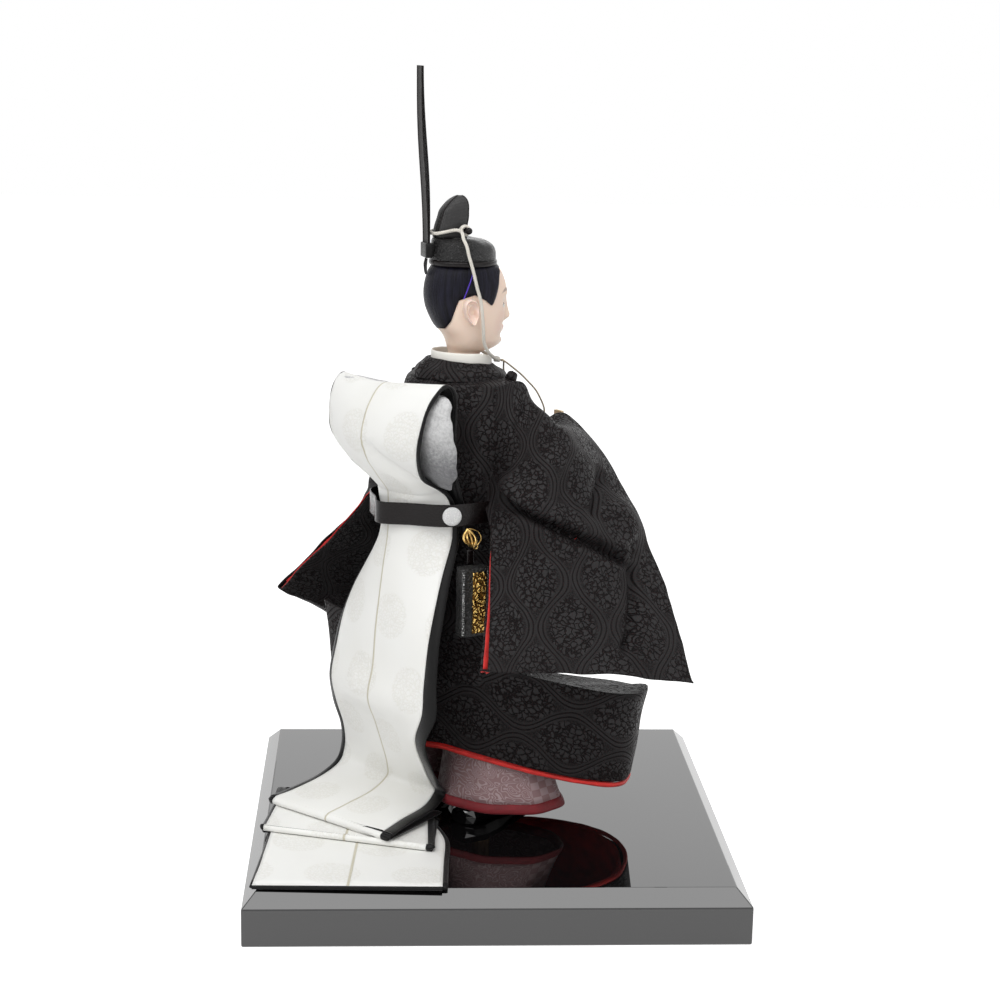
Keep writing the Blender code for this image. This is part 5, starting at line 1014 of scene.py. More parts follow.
def build_sleeves(looks):
    """Wide sleeves of two layers with a red lining that shows at the open edges."""
    for side, sign, drop in (("right", -1.0, 0.0), ("left", 1.0, 0.046)):
        grid = sleeve_grid(sign, drop)
        middle = grid.mean(axis=(0, 1))
        flipped = float(((grid - middle) * normals(grid)).sum()) < 0.0
        uv = grid_uv(grid).reshape(grid.shape[0], grid.shape[1], 2)[..., ::-1]
        if flipped:
            grid = grid[:, ::-1]
            uv = uv[:, ::-1]
        for line, *size in FOLDS:
            grid = fold(grid, line if sign < 0.0 else mirrored(line), *size)
        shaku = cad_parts["shaku"]
        tip = np.array([shaku.matrix_world @ Vector(c) for c in shaku.bound_box])
        near = np.exp(-(((grid[:, :, :2] - tip[:, :2].mean(axis=0)) ** 2).sum(axis=2)) / (2 * 0.012 ** 2))
        grid[:, :, 2] += 0.0090 * near * eased((grid[:, :, 2] - tip[:, 2].max() + 0.034) / 0.012)
        grid = rough(grid, False, 0.026, 0.0014, 11.0 * sign)
        grid = rough(grid, False, 0.009, 0.0005, 5.0 * sign)
        made = cloth("sleeve_cloth_" + side, grid, looks["damask"], nodes=["sleeve_" + side],
                     thick=0.0012, uvs=uv.reshape(-1, 2))
        inner = grid - normals(grid) * 0.0018
        inner[0] = inner[0] * 0.3 + inner[1] * 0.7
        inner[-1] = inner[-1] * 0.3 + inner[-2] * 0.7
        keep = np.nonzero(grid[0, :, 2] < (0.222 if sign < 0.0 else 0.240))[0]
        low, high = int(keep.min()), int(keep.max()) + 1
        foot = grid.shape[1] - OUTER_COLUMNS if flipped else OUTER_COLUMNS - 1
        spans = ((low, foot - 3, 0), (foot + 4, high, 0), (1, low + 1, 24), (high - 1, grid.shape[1] - 1, 24))
        for k, (start, end, first) in enumerate(spans):
            if end - start > 2:
                part = inner[first:, start:end]
                made = cloth("sleeve_red_%s_%d" % (side, k + 1), part, looks["red"], thick=0.0006,
                             nodes=["sleeve_lining_" + side] if k == 0 else (), levels=0)


def build_arms(looks):
    """Bound straw pads on the arm wire, inside the sleeves."""
    for side, sign in (("right", -1.0), ("left", 1.0)):
        path = spline([(0.0, sign * 0.0352, 0.2500), (0.0, sign * 0.0420, 0.2480),
                       (0.0208, sign * 0.0520, 0.2260),
                       (0.0608, sign * 0.0195, 0.2258)], 150)
        along = np.linspace(0.0, 1.0, 150)
        radii = 0.0062 - 0.0010 * along + 0.0004 * np.abs(np.sin(along * 26.0 * math.pi))
        made = tube("arm_binding_" + side, put(path, CHEST), radii, looks["straw"], DOLL, 24,
                    nodes=["arm_pad_" + side])


# Collars

def build_collars(looks):
    """The white collar, the robe's rolled black collar, and its knot."""
    rings = []
    for radius, height, slope in ((0.0180, 0.2845, 0.0), (0.0183, 0.2900, 0.0), (0.0182, 0.2952, 0.04),
                                  (0.0178, 0.2962, 0.05), (0.0171, 0.2956, 0.05), (0.0168, 0.2900, 0.0),
                                  (0.0166, 0.2850, 0.0)):
        ring = []
        for angle in turns(72):
            front = max(0.0, math.cos(angle)) ** 1.5
            ring.append((-0.0027 + radius * math.cos(angle) + 0.0022 * front, radius * math.sin(angle),
                         height - slope * radius * math.cos(angle) - 0.0040 * front + 0.0012))
        rings.append(ring)
    loft("white_collar", put(rings, CHEST), looks["collar"], DOLL, nodes=["inner_collar"],
         levels=1, caps=False)
    profile = ((0.0290, 0.2822), (0.0284, 0.2850), (0.0262, 0.2872), (0.0236, 0.2886), (0.0215, 0.2905),
               (0.0202, 0.2916), (0.0190, 0.2910), (0.0187, 0.2880), (0.0190, 0.2850))
    rings = []
    for radius, height in profile:
        ring = []
        for angle in turns(96):
            tip = 1.0 + 0.018 * math.sin(5 * angle + 1.0) + 0.012 * math.sin(9 * angle)
            lift = (height - 0.2822) / 0.0094
            ring.append((-0.0027 + radius * tip * math.cos(angle), radius * tip * math.sin(angle),
                         height - 0.13 * lift * radius * math.cos(angle)))
        rings.append(ring)
    grid = put(rings, CHEST)
    loft("black_collar", rough(grid, True, 0.010, 0.0006, 2.0), looks["damask"], DOLL, nodes=["robe_collar"],
         levels=1, caps=False)
    centre = np.array((0.0138, -0.0296, 0.2830))
    rings = []
    for step in range(9):
        angle = math.pi * (step + 0.5) / 9
        ring = []
        for turn in turns(20):
            swell = 1.0 + 0.12 * math.cos(3 * turn + 4 * angle)
            ring.append(centre + 0.0038 * swell * np.array((math.sin(angle) * math.cos(turn),
                                                            math.sin(angle) * math.sin(turn),
                                                            -math.cos(angle))))
        rings.append(ring)
    loft("knot", put(rings, CHEST), looks["damask"], DOLL, nodes=["collar_knot"], levels=1)


# Trousers

def build_trousers(looks):
    """Wide trouser legs with a rolled red hem."""
    turn = HIP_TURN - CHEST_TURN - math.pi / 2
    top = 0.1397
    for side, place, wide, deep, leg in (("right", (0.006, -0.030), 0.042, 0.030, (0.0, -0.025)),
                                         ("left", (-0.038, 0.024), 0.033, 0.025, (0.0, 0.025))):
        foot = from_board(*place)

        def ring(height, grow=0.0):
            rise = (height - 0.014) / (top - 0.014)
            share = 1.0 - 0.62 * max(0.0, rise) ** 0.8
            x = foot[0] + (leg[0] - foot[0]) * rise
            y = foot[1] + (leg[1] * 0.9 - foot[1]) * rise
            row = []
            for angle in turns(96):
                pleat = 0.0007 * math.cos(8 * angle) * (1.0 - max(0.0, rise)) + grow
                a = (wide * share + pleat) * math.cos(angle)
                b = (deep * share + pleat) * math.sin(angle)
                row.append((x + a * math.cos(turn) - b * math.sin(turn),
                            y + a * math.sin(turn) + b * math.cos(turn), height))
            return row

        rows = [ring(h) for h in np.linspace(0.0195, top - 0.0005, 30)]
        leg_cloth = put(rows, CHEST)
        made = cloth("trouser_" + side, leg_cloth, looks["hakama"], closed=True, thick=0.0011,
                     nodes=["hakama_" + side], levels=0)
        rows = []
        for step in range(13):
            angle = math.tau * step / 12
            rows.append(ring(0.0170 + 0.0031 * math.sin(angle), -0.0003 + 0.0012 * math.cos(angle)))
        loft("trouser_hem_" + side, put(rows, CHEST), looks["dark_red"], DOLL, caps=False,
             nodes=["hakama_hem_" + side])


# Train

TRAIN_DEPTH = 0.066
TRAIN_HALF = 0.055
TRAIN_HEIGHT = 0.280
LAYER_PITCH = 0.0025
TURN_BACK = 0.014
TRAIN_STATIONS = (
    (0.45, 0.56, 0.58, 0.680), (0.46, 0.565, 0.60, 0.740), (0.53, 0.60, 0.66, 0.82),
    (0.64, 0.66, 0.80, 0.90), (0.70, 0.74, 0.90, 0.965), (0.76, 0.82, 0.93, 0.992),
    (0.84, 0.92, 0.93, 1.00), (0.93, 1.02, 0.92, 0.985), (1.02, 1.13, 0.86, 0.94),
    (1.03, 1.16, 0.77, 0.88), (0.88, 1.00, 0.62, 0.82), (0.67, 0.87, 0.57, 0.780),
    (0.59, 0.855, 0.59, 0.760), (0.58, 0.865, 0.60, 0.680), (0.70, 0.92, 0.70, 0.60),
    (0.86, 0.98, 0.84, 0.48), (0.93, 1.01, 0.90, 0.38), (0.97, 1.07, 0.93, 0.31))
TRAIN_FLOOR = (
    ((-0.66, 0.04), (-0.31, -0.52), 27.0), ((-0.63, 0.09), (-0.28, -0.46), 19.0),
    ((-0.62, 0.12), (-0.25, -0.34), 12.5), ((-0.64, 0.11), (-0.23, -0.24), 8.0),
    ((-0.72, 0.03), (-0.28, -0.32), 5.4), ((-0.84, -0.10), (-0.38, -0.44), 4.5),
    ((-0.905, -0.16), (-0.45, -0.55), 4.5))
TRAIN_FOLDS = (
    ((-0.91, -0.165), (-0.455, -0.557), 4.5, 3.5, 1.0), ((-0.88, -0.03), (-0.26, -0.30), 3.5, 2.5, -1.0),
    ((-0.94, -0.397), (-0.275, -0.613), 2.5, 1.5, 1.0), ((-0.88, -0.14), (-0.24, -0.30), 1.5, 0.5, -1.0))


def train_rows():
    """Left edge, middle and right edge of the train at each station, from the belt to the hem."""
    rows = []
    for side, seam, wide, rise in TRAIN_STATIONS:
        half = wide * TRAIN_HALF
        height = rise * TRAIN_HEIGHT
        edge = -side * TRAIN_DEPTH
        rows.append(((edge, half, height), (-seam * TRAIN_DEPTH, 0.0, height), (edge, -half, height)))
    pitch = LAYER_PITCH
    floor = [(left, right, layer * pitch) for left, right, layer in TRAIN_FLOOR[:-1]]
    for left, right, start, end, ahead in TRAIN_FOLDS:
        left, right = np.array(left), np.array(right)
        way = np.array([(right - left)[1], -(right - left)[0]])
        way = way / np.linalg.norm(way) * ahead
        radius = (start - end) / 2 * pitch
        floor.append((left - way * TURN_BACK, right - way * TURN_BACK, start * pitch))
        for degrees in (90, 45, 0, -45, -90):
            angle = math.radians(degrees)
            shift = way * radius / BOARD_HALF * math.cos(angle)
            floor.append((left + shift, right + shift, (start + end) / 2 * pitch + radius * math.sin(angle)))
        floor.append((left - way * TURN_BACK, right - way * TURN_BACK, end * pitch))
    floor += [((-0.905, -0.30), (-0.20, -0.50), 0.5 * pitch), ((-0.93, -0.62), (-0.21, -0.74), 0.5 * pitch),
              ((-0.96, -0.945), (-0.22, -0.965), 0.5 * pitch)]
    for left, right, height in floor:
        left = from_board(left[0] * BOARD_HALF, left[1] * BOARD_HALF)
        right = from_board(right[0] * BOARD_HALF, right[1] * BOARD_HALF)
        base = height + 0.0004
        rows.append(((*left, base), ((left[0] + right[0]) / 2, (left[1] + right[1]) / 2, base),
                     (*right, base)))
    return np.array(rows)


def train_grid(columns=45):
    """The train's middle surface."""
    rows = train_rows()
    t = np.linspace(-1.0, 1.0, columns)[None, :, None]
    left, middle, right = rows[:, 0:1], rows[:, 1:2], rows[:, 2:3]
    grid = left * t * (t - 1) / 2 + middle * (1 - t * t) + right * t * (t + 1) / 2
    grid = put(spline(grid, 5, even=False), CHEST)
    way = grid[:, -1] - grid[:, -4]
    way /= np.linalg.norm(way, axis=1, keepdims=True)
    levels = (0.045, 0.060, 0.090, 0.112, 0.132, 0.161, 0.198, 0.222, 0.240, 0.260)
    amount = np.interp(grid[:, -1, 2], levels, (0.0, -0.001, -0.003, -0.0038, -0.0045, -0.0032, 0.0006,
                                                0.0040,
                                                 0.0035, 0.0))
    share = np.clip(t, 0.0, 1.0) ** 1.5
    grid += way[:, None] * amount[:, None, None] * share
    amount = np.interp(grid[:, 0, 2], (0.060, 0.085, 0.180, 0.215, 0.232, 0.242, 0.260),
                       (0.0, 0.0028, 0.0028, 0.0055, 0.0055, 0.002, 0.0))
    grid += way[:, None] * amount[:, None, None] * np.clip(-t, 0.0, 1.0) ** 1.5
    grid[:, :, 2] += 0.0065 * eased((grid[:, :, 2] - 0.278) / 0.025) * np.clip(0.2 + 0.8 * t[..., 0], 0.0,
                                                                               1.0)
    return grid


def build_train(looks):
    """White silk train with its seam, drapes and black satin lining, piped at both edges and the hem."""
    grid = train_grid()
    grid = crease(grid, False, [(-81.3, -51.8, 282.2), (-72.3, -57.7, 273.8), (-63.9, -61.4, 269.1),
                                (-53.2, -63.3, 261.7), (-44.1, -59.9, 255.5), (-28.7, -48.7, 246.9)],
                  -0.0050, 0.0038, 1.3, 0.12)
    grid = crease(grid, False, [(-84, -47, 272), (-72, -56, 262), (-58, -61, 254), (-46, -58, 250)],
                  0.0045, 0.0034, 1.3, 0.3)
    grid = crease(grid, False, [(-86, -38, 190), (-84, -44, 160), (-88, -36, 130), (-92, -22, 100)],
                  0.0018, 0.008, 1.8, 0.3)
    out = normals(grid)
    grid = grid + out * (0.0007 * np.sin(np.arange(grid.shape[0]) * 0.21)[:, None, None])
    face = grid - out * 0.00015
    uvs = grid_uv(grid)
    made = cloth("train_cloth", face - out * 0.0009, looks["silk"], nodes=["train_face"],
                 thick=-0.0009, levels=0, uvs=uvs)
    lining = cloth("train_satin", grid + out * 0.00095, looks["satin"], nodes=["train_lining"],
                   thick=0.0008, levels=0)
    for side, column, beside in (("left", 0, 1), ("right", -1, -2)):
        edge = grid[:, column]
        outward = edge - grid[:, beside]
        outward /= np.linalg.norm(outward, axis=1, keepdims=True)
        normal = out[:, column]
        wide = np.interp(edge[:, 2], (0.037, 0.044, 0.060, 0.100, 0.130, 0.170, 0.240, 0.300),
                         (0.0020, 0.0044, 0.0046, 0.0058, 0.0054, 0.0040, 0.0020, 0.0013))
        if side == "left":
            wide = wide * 0.6
        rings = []
        for i in range(len(edge)):
            ring = []
            for angle in turns(12):
                ring.append(edge[i] + outward[i] * (wide[i] - 0.0008 + wide[i] * math.cos(angle))
                            + normal[i] * (0.0011 + 0.0002 * math.sin(i * 0.9)) * math.sin(angle))
            rings.append(ring)
        loft("train_piping_" + side, rings, looks["satin"], DOLL)
    hem = grid[-1]
    ahead = hem - grid[-2]
    ahead /= np.linalg.norm(ahead, axis=1, keepdims=True)
    path = hem + ahead * 0.0006
    tube("train_piping_hem", path, 0.0012, looks["satin"], DOLL, 10)


def build_wadding(looks):
    """Cotton wadding in the train's upper fold, with a lumpy surface."""
    shares = ((0.785, 0.60, 0.05, 0.70), (0.83, 0.71, 0.15, 0.95), (0.90, 0.82, 0.185, 1.06),
              (0.965, 0.855, 0.165, 1.06), (1.003, 0.83, 0.09, 0.98))
    rings = []
    for rise, depth, thick, wide in shares:
        ring = []
        for angle in turns(64):
            ring.append((-depth * TRAIN_DEPTH + thick * TRAIN_DEPTH * math.cos(angle),
                         wide * TRAIN_HALF * math.sin(angle), rise * TRAIN_HEIGHT))
        rings.append(ring)
    grid = put(spline(np.array(rings), 8, even=False), CHEST)
    grid = rough(rough(grid, True, 0.008, 0.0016, 4.0), True, 0.0025, 0.0009, 9.0)
    made = loft("wadding", grid, looks["cotton"], DOLL, nodes=["fold_wadding"], levels=1)


# Belt and what hangs from it

def belt_loop(grow, count=160):
    """Plan of the belt around the body and the train."""
    front, wide = BODY_DEPTH + 0.0008, BODY_WIDTH + 0.0008
    back = 0.955 * TRAIN_DEPTH
    corner = (0.60 * TRAIN_DEPTH, 0.665 * TRAIN_HALF)
    half = [(x * front, y * wide) for x, y in ((1.0, 0.0), (0.80, 0.60), (0.30, 0.96), (-0.35, 1.0))]
    half += [(-corner[0], corner[1] * 1.06)]
    half += [(x * back, y * corner[1]) for x, y in ((-0.86, 0.42), (-1.0, 0.0))]
    whole = half + [(x, -y) for x, y in half[-2:0:-1]]
    closed = ring_spline(whole, count)
    side = np.roll(closed, -1, axis=0) - np.roll(closed, 1, axis=0)
    side = np.stack([side[:, 1], -side[:, 0]], axis=1)
    side /= np.linalg.norm(side, axis=1, keepdims=True)
    if float((side * closed).sum()) < 0.0:
        side = -side
    return closed + side * grow


def belt_spot(angle, grow):
    """A place on the belt seen from the doll's axis at an angle, and the way out from it."""
    loop = belt_loop(grow)
    angles = np.arctan2(loop[:, 1], loop[:, 0])
    best = int(np.argmin(np.abs((angles - angle + math.pi) % math.tau - math.pi)))
    along = loop[(best + 1) % len(loop)] - loop[best - 1]
    out = np.array([along[1], -along[0]])
    out /= np.linalg.norm(out)
    if float(np.dot(out, loop[best])) < 0.0:
        out = -out
    return loop[best], out


def build_belt(looks):
    """The glossy belt with turned edges, its stones and its eyelet."""
    half = 0.007
    profile = ((0.0, -half), (0.0014, -half), (0.0018, -half + 0.0005), (0.0016, -half + 0.0011),
               (0.0016, half - 0.0011), (0.0018, half - 0.0005), (0.0014, half), (0.0, half))
    rings = []
    for grow, level in profile + (profile[0],):
        rings.append([(x, y, BELT_HEIGHT - 0.05 * y + level) for x, y in belt_loop(grow)])
    loft("belt_strap", put(rings, CHEST), looks["leather"], DOLL, caps=False, nodes=["belt"],
         levels=1)
    for side, sign in (("right", -1.0), ("left", 1.0)):
        disc("stone_" + side, math.radians(108.0 if sign > 0.0 else -134.0), looks["stone"],
             "belt_stone_" + side,
             ((0.0001, 0.0054), (0.0008, 0.0058), (0.0014, 0.0057), (0.0019, 0.0050), (0.0022, 0.0036),
              (0.0022, 0.0012)), "stone", 28)
    disc("eyelet", math.radians(-100.0), looks["gold"], "belt_eyelet",
         ((0.0001, 0.0024), (0.0007, 0.0023), (0.0011, 0.0019), (0.0009, 0.0014), (0.0003, 0.0012)), "gold",
         20)


def disc(name, angle, look, node, profile, slot, sides):
    """A turned disc on the belt's outer face."""
    place, out = belt_spot(angle, 0.0016)
    side = np.array([-out[1], out[0]])
    level = BELT_HEIGHT - 0.05 * place[1]
    rings = []
    for stand, radius in profile:
        ring = []
        for turn in turns(sides):
            flat = place + out * (0.0002 + stand) + side * math.cos(turn) * radius
            ring.append((flat[0], flat[1], level + math.sin(turn) * radius))
        rings.append(ring)
    loft(name, put(rings, CHEST), look, DOLL, nodes=[node], angle=40.0)


def build_case(looks):
    """The hip case with its gilt front, strap and looped gilt hanger."""
    body = "case"
    for k, (swing, bow) in enumerate(((-1.0, 1.0), (-0.45, 0.6), (0.15, 0.25), (0.7, 0.7))):
        path = []
        for t in np.linspace(0.0, 1.0, 20):
            wide = math.sin(math.pi * t) * 0.0046 * swing + 0.0022 * t
            path.append((0.0011 + 0.0010 * bow * math.sin(math.pi * t), wide - 0.0016 * (1 - t),
                         -0.0014 - 0.0118 * t))
        tube("hanger_strand_%d" % k, put(path, CASE), 0.00085, looks["gold"], body, 8)
    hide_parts("gilt_loop")
    ring = [(0.0012, 0.0036 + 0.0016 * math.cos(a), -0.0126 + 0.0016 * math.sin(a))
            for a in np.linspace(0.0, math.tau, 17)]
    tube("hanger_ring", put(ring, CASE), 0.0005, looks["gold"], body, 8)
    cord = spline([(0.0010, -0.0010, -0.0010), (0.0016, 0.0052, -0.0034), (0.0018, 0.0072, -0.0080),
                   (0.0014, 0.0050, -0.0118)], 24)
    tube("hanger_cord", put(cord, CASE), 0.00035, looks["gold"], body, 8)
    strap = []
    for z in np.linspace(-0.0141, -0.0233, 10):
        strap.append([(0.0020 + 0.0007 * squared(math.cos(a), 0.5),
                       0.0022 * squared(math.sin(a), 0.5), z)
                      for a in turns(16)])
    loft("strap", put(strap, CASE), looks["leather"], body, nodes=["case_strap"])
    rings = []
    for z, grow in ((-0.0235, -0.0012), (-0.0239, -0.0003), (-0.0247, 0.0), (-0.0262, -0.0002),
                    (-0.0272, 0.0),
                    (-0.0450, 0.0), (-0.0635, 0.0), (-0.0645, -0.0002), (-0.0657, 0.0), (-0.0662, -0.0003),
                    (-0.0665, -0.0012)):
        ring = []
        for a in turns(48):
            x = squared(math.cos(a), 0.28) * (0.0049 + grow)
            y = squared(math.sin(a), 0.28) * (0.0094 + grow)
            ring.append((0.0060 + x, y, z))
        rings.append(ring)
    loft("case_box", put(rings, CASE), looks["shagreen"], body, nodes=["hip_case"])
    for side in (-1.0, 1.0):
        path = [(0.0109, side * 0.0082, z) for z in np.linspace(-0.0255, -0.0650, 30)]
        tube("case_edge_%s" % ("left" if side > 0 else "right"), put(path, CASE), 0.0008, looks["edge"], body,
             8)
    grid = []
    for t in np.linspace(0.0, 1.0, 60):
        row = []
        for s in np.linspace(-1.0, 1.0, 22):
            edge = min(1.0, (1.0 - abs(s)) * 6.0, t * 14.0, (1.0 - t) * 14.0)
            swirl = math.sin(t * 31.0 + 2.4 * math.sin(s * 3.0 + t * 9.0))
            swirl *= math.cos(s * 4.2 + 2.0 * math.sin(t * 17.0))
            row.append((0.0113 + 0.0006 * edge + 0.00035 * edge * swirl, 0.0022 + s * 0.0045,
                        -0.0262 - t * 0.0380))
        grid.append(row)
    grid = put(grid, CASE)
    if float((normals(grid) @ np.array(CASE.to_3x3().col[0])).sum()) < 0.0:
        grid = grid[:, ::-1]
    cloth("case_gilt", grid, looks["relief"], body, 0.0006, nodes=["case_mount"], levels=0)


# Head

HEAD_DEPTH = 0.0255
HEAD_HALF = 0.0185
CHIN = 0.298
HEAD_RISE = 0.060
EAR_HEIGHT = 0.3228
CAP_RADIUS = 0.0202
HEAD_TABLE = np.array((
    (-0.14, 0.37, 0.39, 0.55), (-0.03, 0.40, 0.39, 0.56), (0.00, 0.66, 0.40, 0.62), (0.04, 0.83, 0.43, 0.71),
    (0.09, 0.91, 0.46, 0.80), (0.15, 0.905, 0.53, 0.87), (0.213, 0.925, 0.65, 0.92),
    (0.275, 0.94, 0.73, 0.95),
    (0.367, 0.975, 0.80, 0.98), (0.467, 0.995, 0.86, 1.0), (0.555, 1.025, 0.89, 1.0),
    (0.65, 1.015, 0.886, 0.99),
    (0.733, 0.957, 0.855, 0.97), (0.813, 0.865, 0.80, 0.93), (0.867, 0.70, 0.70, 0.85),
    (0.905, 0.53, 0.60, 0.75),
    (0.942, 0.30, 0.36, 0.48)))
HEAD_FEATURES = (
    (0.0029, 0.0, 0.090, 0.3178, 0.0032), (0.0020, 0.0, 0.080, 0.3212, 0.0042),
    (0.0013, 0.0, 0.085, 0.3260, 0.0050),
    (0.0008, 0.0, 0.16, 0.3166, 0.0022), (0.0015, 0.0, 0.16, 0.3114, 0.0014),
    (0.0013, 0.0, 0.14, 0.3090, 0.0014),
    (-0.0009, 0.0, 0.30, 0.3062, 0.0018), (0.0010, 0.0, 0.20, 0.3020, 0.0030),
    (-0.0006, 0.0, 0.05, 0.3138, 0.0016),
    (-0.0019, 0.36, 0.16, 0.3262, 0.0034), (0.0013, 0.39, 0.17, 0.3250, 0.0019),
    (0.0007, 0.40, 0.22, 0.3330, 0.0030),
    (0.0006, 0.52, 0.26, 0.3170, 0.0060), (-0.0008, 0.17, 0.06, 0.3160, 0.0020))


def head_radius(angle, height, grow=0.0):
    """A point of the smooth head at an angle from straight ahead."""
    rise = (height - CHIN) / HEAD_RISE
    front, back, wide = (float(np.interp(rise, HEAD_FINE[:, 0], HEAD_FINE[:, i])) for i in (1, 2, 3))
    deep = between(front, back, angle, 3.5)
    return ((deep * HEAD_DEPTH + grow) * math.cos(angle), (wide * HEAD_HALF + grow) * math.sin(angle), height)


HEAD_FINE = spline(HEAD_TABLE, 8, even=False)


def face_relief(angle, height):
    """How far the face stands out at an angle and height."""
    total = 0.0
    if math.cos(angle) < 0.2:
        return 0.0
    for size, middle, spread, level, tall in HEAD_FEATURES:
        lift = math.exp(-((height - level) / tall) ** 2)
        if middle == 0.0:
            total += size * lift * math.exp(-(angle / spread) ** 2)
        else:
            total += size * lift * (math.exp(-((angle - middle) / spread) ** 2)
                                    + math.exp(-((angle + middle) / spread) ** 2))
    return total


def build_head(looks):
    """Carved head and neck, with ears."""
    near = np.linspace(-70.0, 70.0, 85)
    far = np.linspace(76.0, 284.0, 36)
    angles = np.radians(np.concatenate([near, far]))
    heights = np.concatenate([np.linspace(0.2897, 0.2965, 6), np.linspace(0.2975, 0.3300, 74),
                              np.linspace(0.3312, 0.3540, 24)])
    rings = []
    uvs = []
    for height in heights:
        ring = []
        for angle in angles:
            turn = (angle + math.pi) % math.tau - math.pi
            ring.append(head_radius(angle, height, face_relief(turn, height)))
            uvs.append((turn * 0.0245, height))
        rings.append(ring)
    loft("skull", put(rings, SKULL), looks["face"], HEAD, nodes=["head"], uvs=uvs, levels=1)
    for sign in (-1.0, 1.0):
        build_ear(sign, looks)


def build_ear(sign, looks):
    """A shell-shaped ear with its rim, inner fold, hollow and lobe."""
    rows = []
    for t in np.linspace(0.0, 1.0, 30):
        row = []
        for a in turns(44):
            tall = math.sin(a)
            outline = 0.0048 * (1.0 + 0.22 * tall) if tall > -0.2 else 0.0048 * (0.956 - 0.42 * (-0.2 - tall))
            r = math.sin(t * math.pi / 2)
            x = math.cos(a) * outline * 1.12 * r - 0.12 * tall * 0.0082 * r
            z = tall * 0.0086 * r
            rim = 0.0030 * math.exp(-((r - 0.86) / 0.13) ** 2) * (1.0 - 0.75 * max(0.0, math.cos(a)) ** 2)
            fold = 0.0019 * math.exp(-((r - 0.52) / 0.14) ** 2) * max(0.0,
                                                                      math.cos(a - math.radians(160))) ** 0.6
            hollow = -0.0024 * math.exp(-(((x - 0.0008) / 0.0022) ** 2 + ((z + 0.0008) / 0.0034) ** 2))
            lobe = 0.0012 * math.exp(-((x / 0.0030) ** 2 + ((z + 0.0062) / 0.0024) ** 2))
            tragus = 0.0014 * math.exp(-(((x - 0.0036) / 0.0011) ** 2 + ((z + 0.0006) / 0.0016) ** 2))
            edge = 0.0014 * (1.0 - r ** 6)
            stand = 0.0016 + edge + rim + fold + hollow + lobe + tragus
            back = 0.35 * (x < 0) * abs(x)
            row.append((-0.0010 + x, sign * (0.0172 + stand + back), EAR_HEIGHT + z))
        rows.append(row)
    last = rows[-1]
    rows.append([(p[0] * 0.985 - 0.00003, sign * 0.0175, EAR_HEIGHT + (p[2] - EAR_HEIGHT) * 0.96) for p in last])
    rows.append([(-0.0010 + (p[0] + 0.0010) * 0.8, sign * 0.0160,
                  EAR_HEIGHT + (p[2] - EAR_HEIGHT) * 0.8) for p in last])
    rings = np.array(rows[1:])
    if sign > 0:
        rings = rings[:, ::-1]
    loft("ear_" + ("left" if sign > 0 else "right"), put(rings, SKULL), looks["skin"], HEAD,
         levels=1)


def hairline(angle):
    """Height of the hair's lower edge at an angle from straight ahead."""
    degrees = (0.0, 30.0, 45.0, 60.0, 76.0, 93.0, 111.0, 128.0, 145.0, 180.0)
    heights = (0.3488, 0.3478, 0.3425, 0.3255, 0.3310, 0.3340, 0.3310, 0.3170, 0.3120, 0.3110)
    turn = abs((math.degrees(angle) + 180.0) % 360.0 - 180.0)
    return float(np.interp(turn, degrees, heights))


def build_hair(looks):
    """The combed hair as one full shell, and the purple thread."""
    sides = 180
    raw = np.array([hairline(angle) for angle in turns(sides)])
    kernel = np.array([1, 4, 6, 4, 1]) / 16.0
    low = sum(np.roll(raw, s - 2) * kernel[s] for s in range(5))
    rings = []
    uvs = []
    steps = 26
    for step in range(steps):
        t = step / (steps - 1)
        swell = 0.0023 * min(1.0, 0.15 + 3.2 * t) ** 0.7
        ring = []
        for j, angle in enumerate(turns(sides)):
            height = low[j] + (0.3575 - low[j]) * t
            back = max(0.0, -math.cos(angle)) * 0.0007 * math.sin(math.pi * min(1.0, t * 1.3))
            x, y = head_radius(angle, min(height, 0.3535), swell + back)[:2]
            close = 1.0 if height < 0.3500 else max(0.25, 1.0 - ((height - 0.3500) / 0.0082) ** 2)
            ring.append((x * close, y * close, height))
            uvs.append((angle * 0.0220, height))
        rings.append(ring)
    loft("hair_shell", put(rings, SKULL), looks["hair"], HEAD, nodes=["hair"], uvs=uvs)
    thread = spline([(-0.0010, -0.0214, 0.3470), (-0.0024, -0.0217, 0.3430), (-0.0042, -0.0218, 0.3380),
                     (-0.0060, -0.0215, 0.3330), (-0.0066, -0.0212, 0.3312)], 90)
    tube("thread", put(thread, SKULL), 0.00042, looks["purple"], HEAD, 8, nodes=["hair_thread"],
         strands=2, pitch=0.0016, depth=0.3)


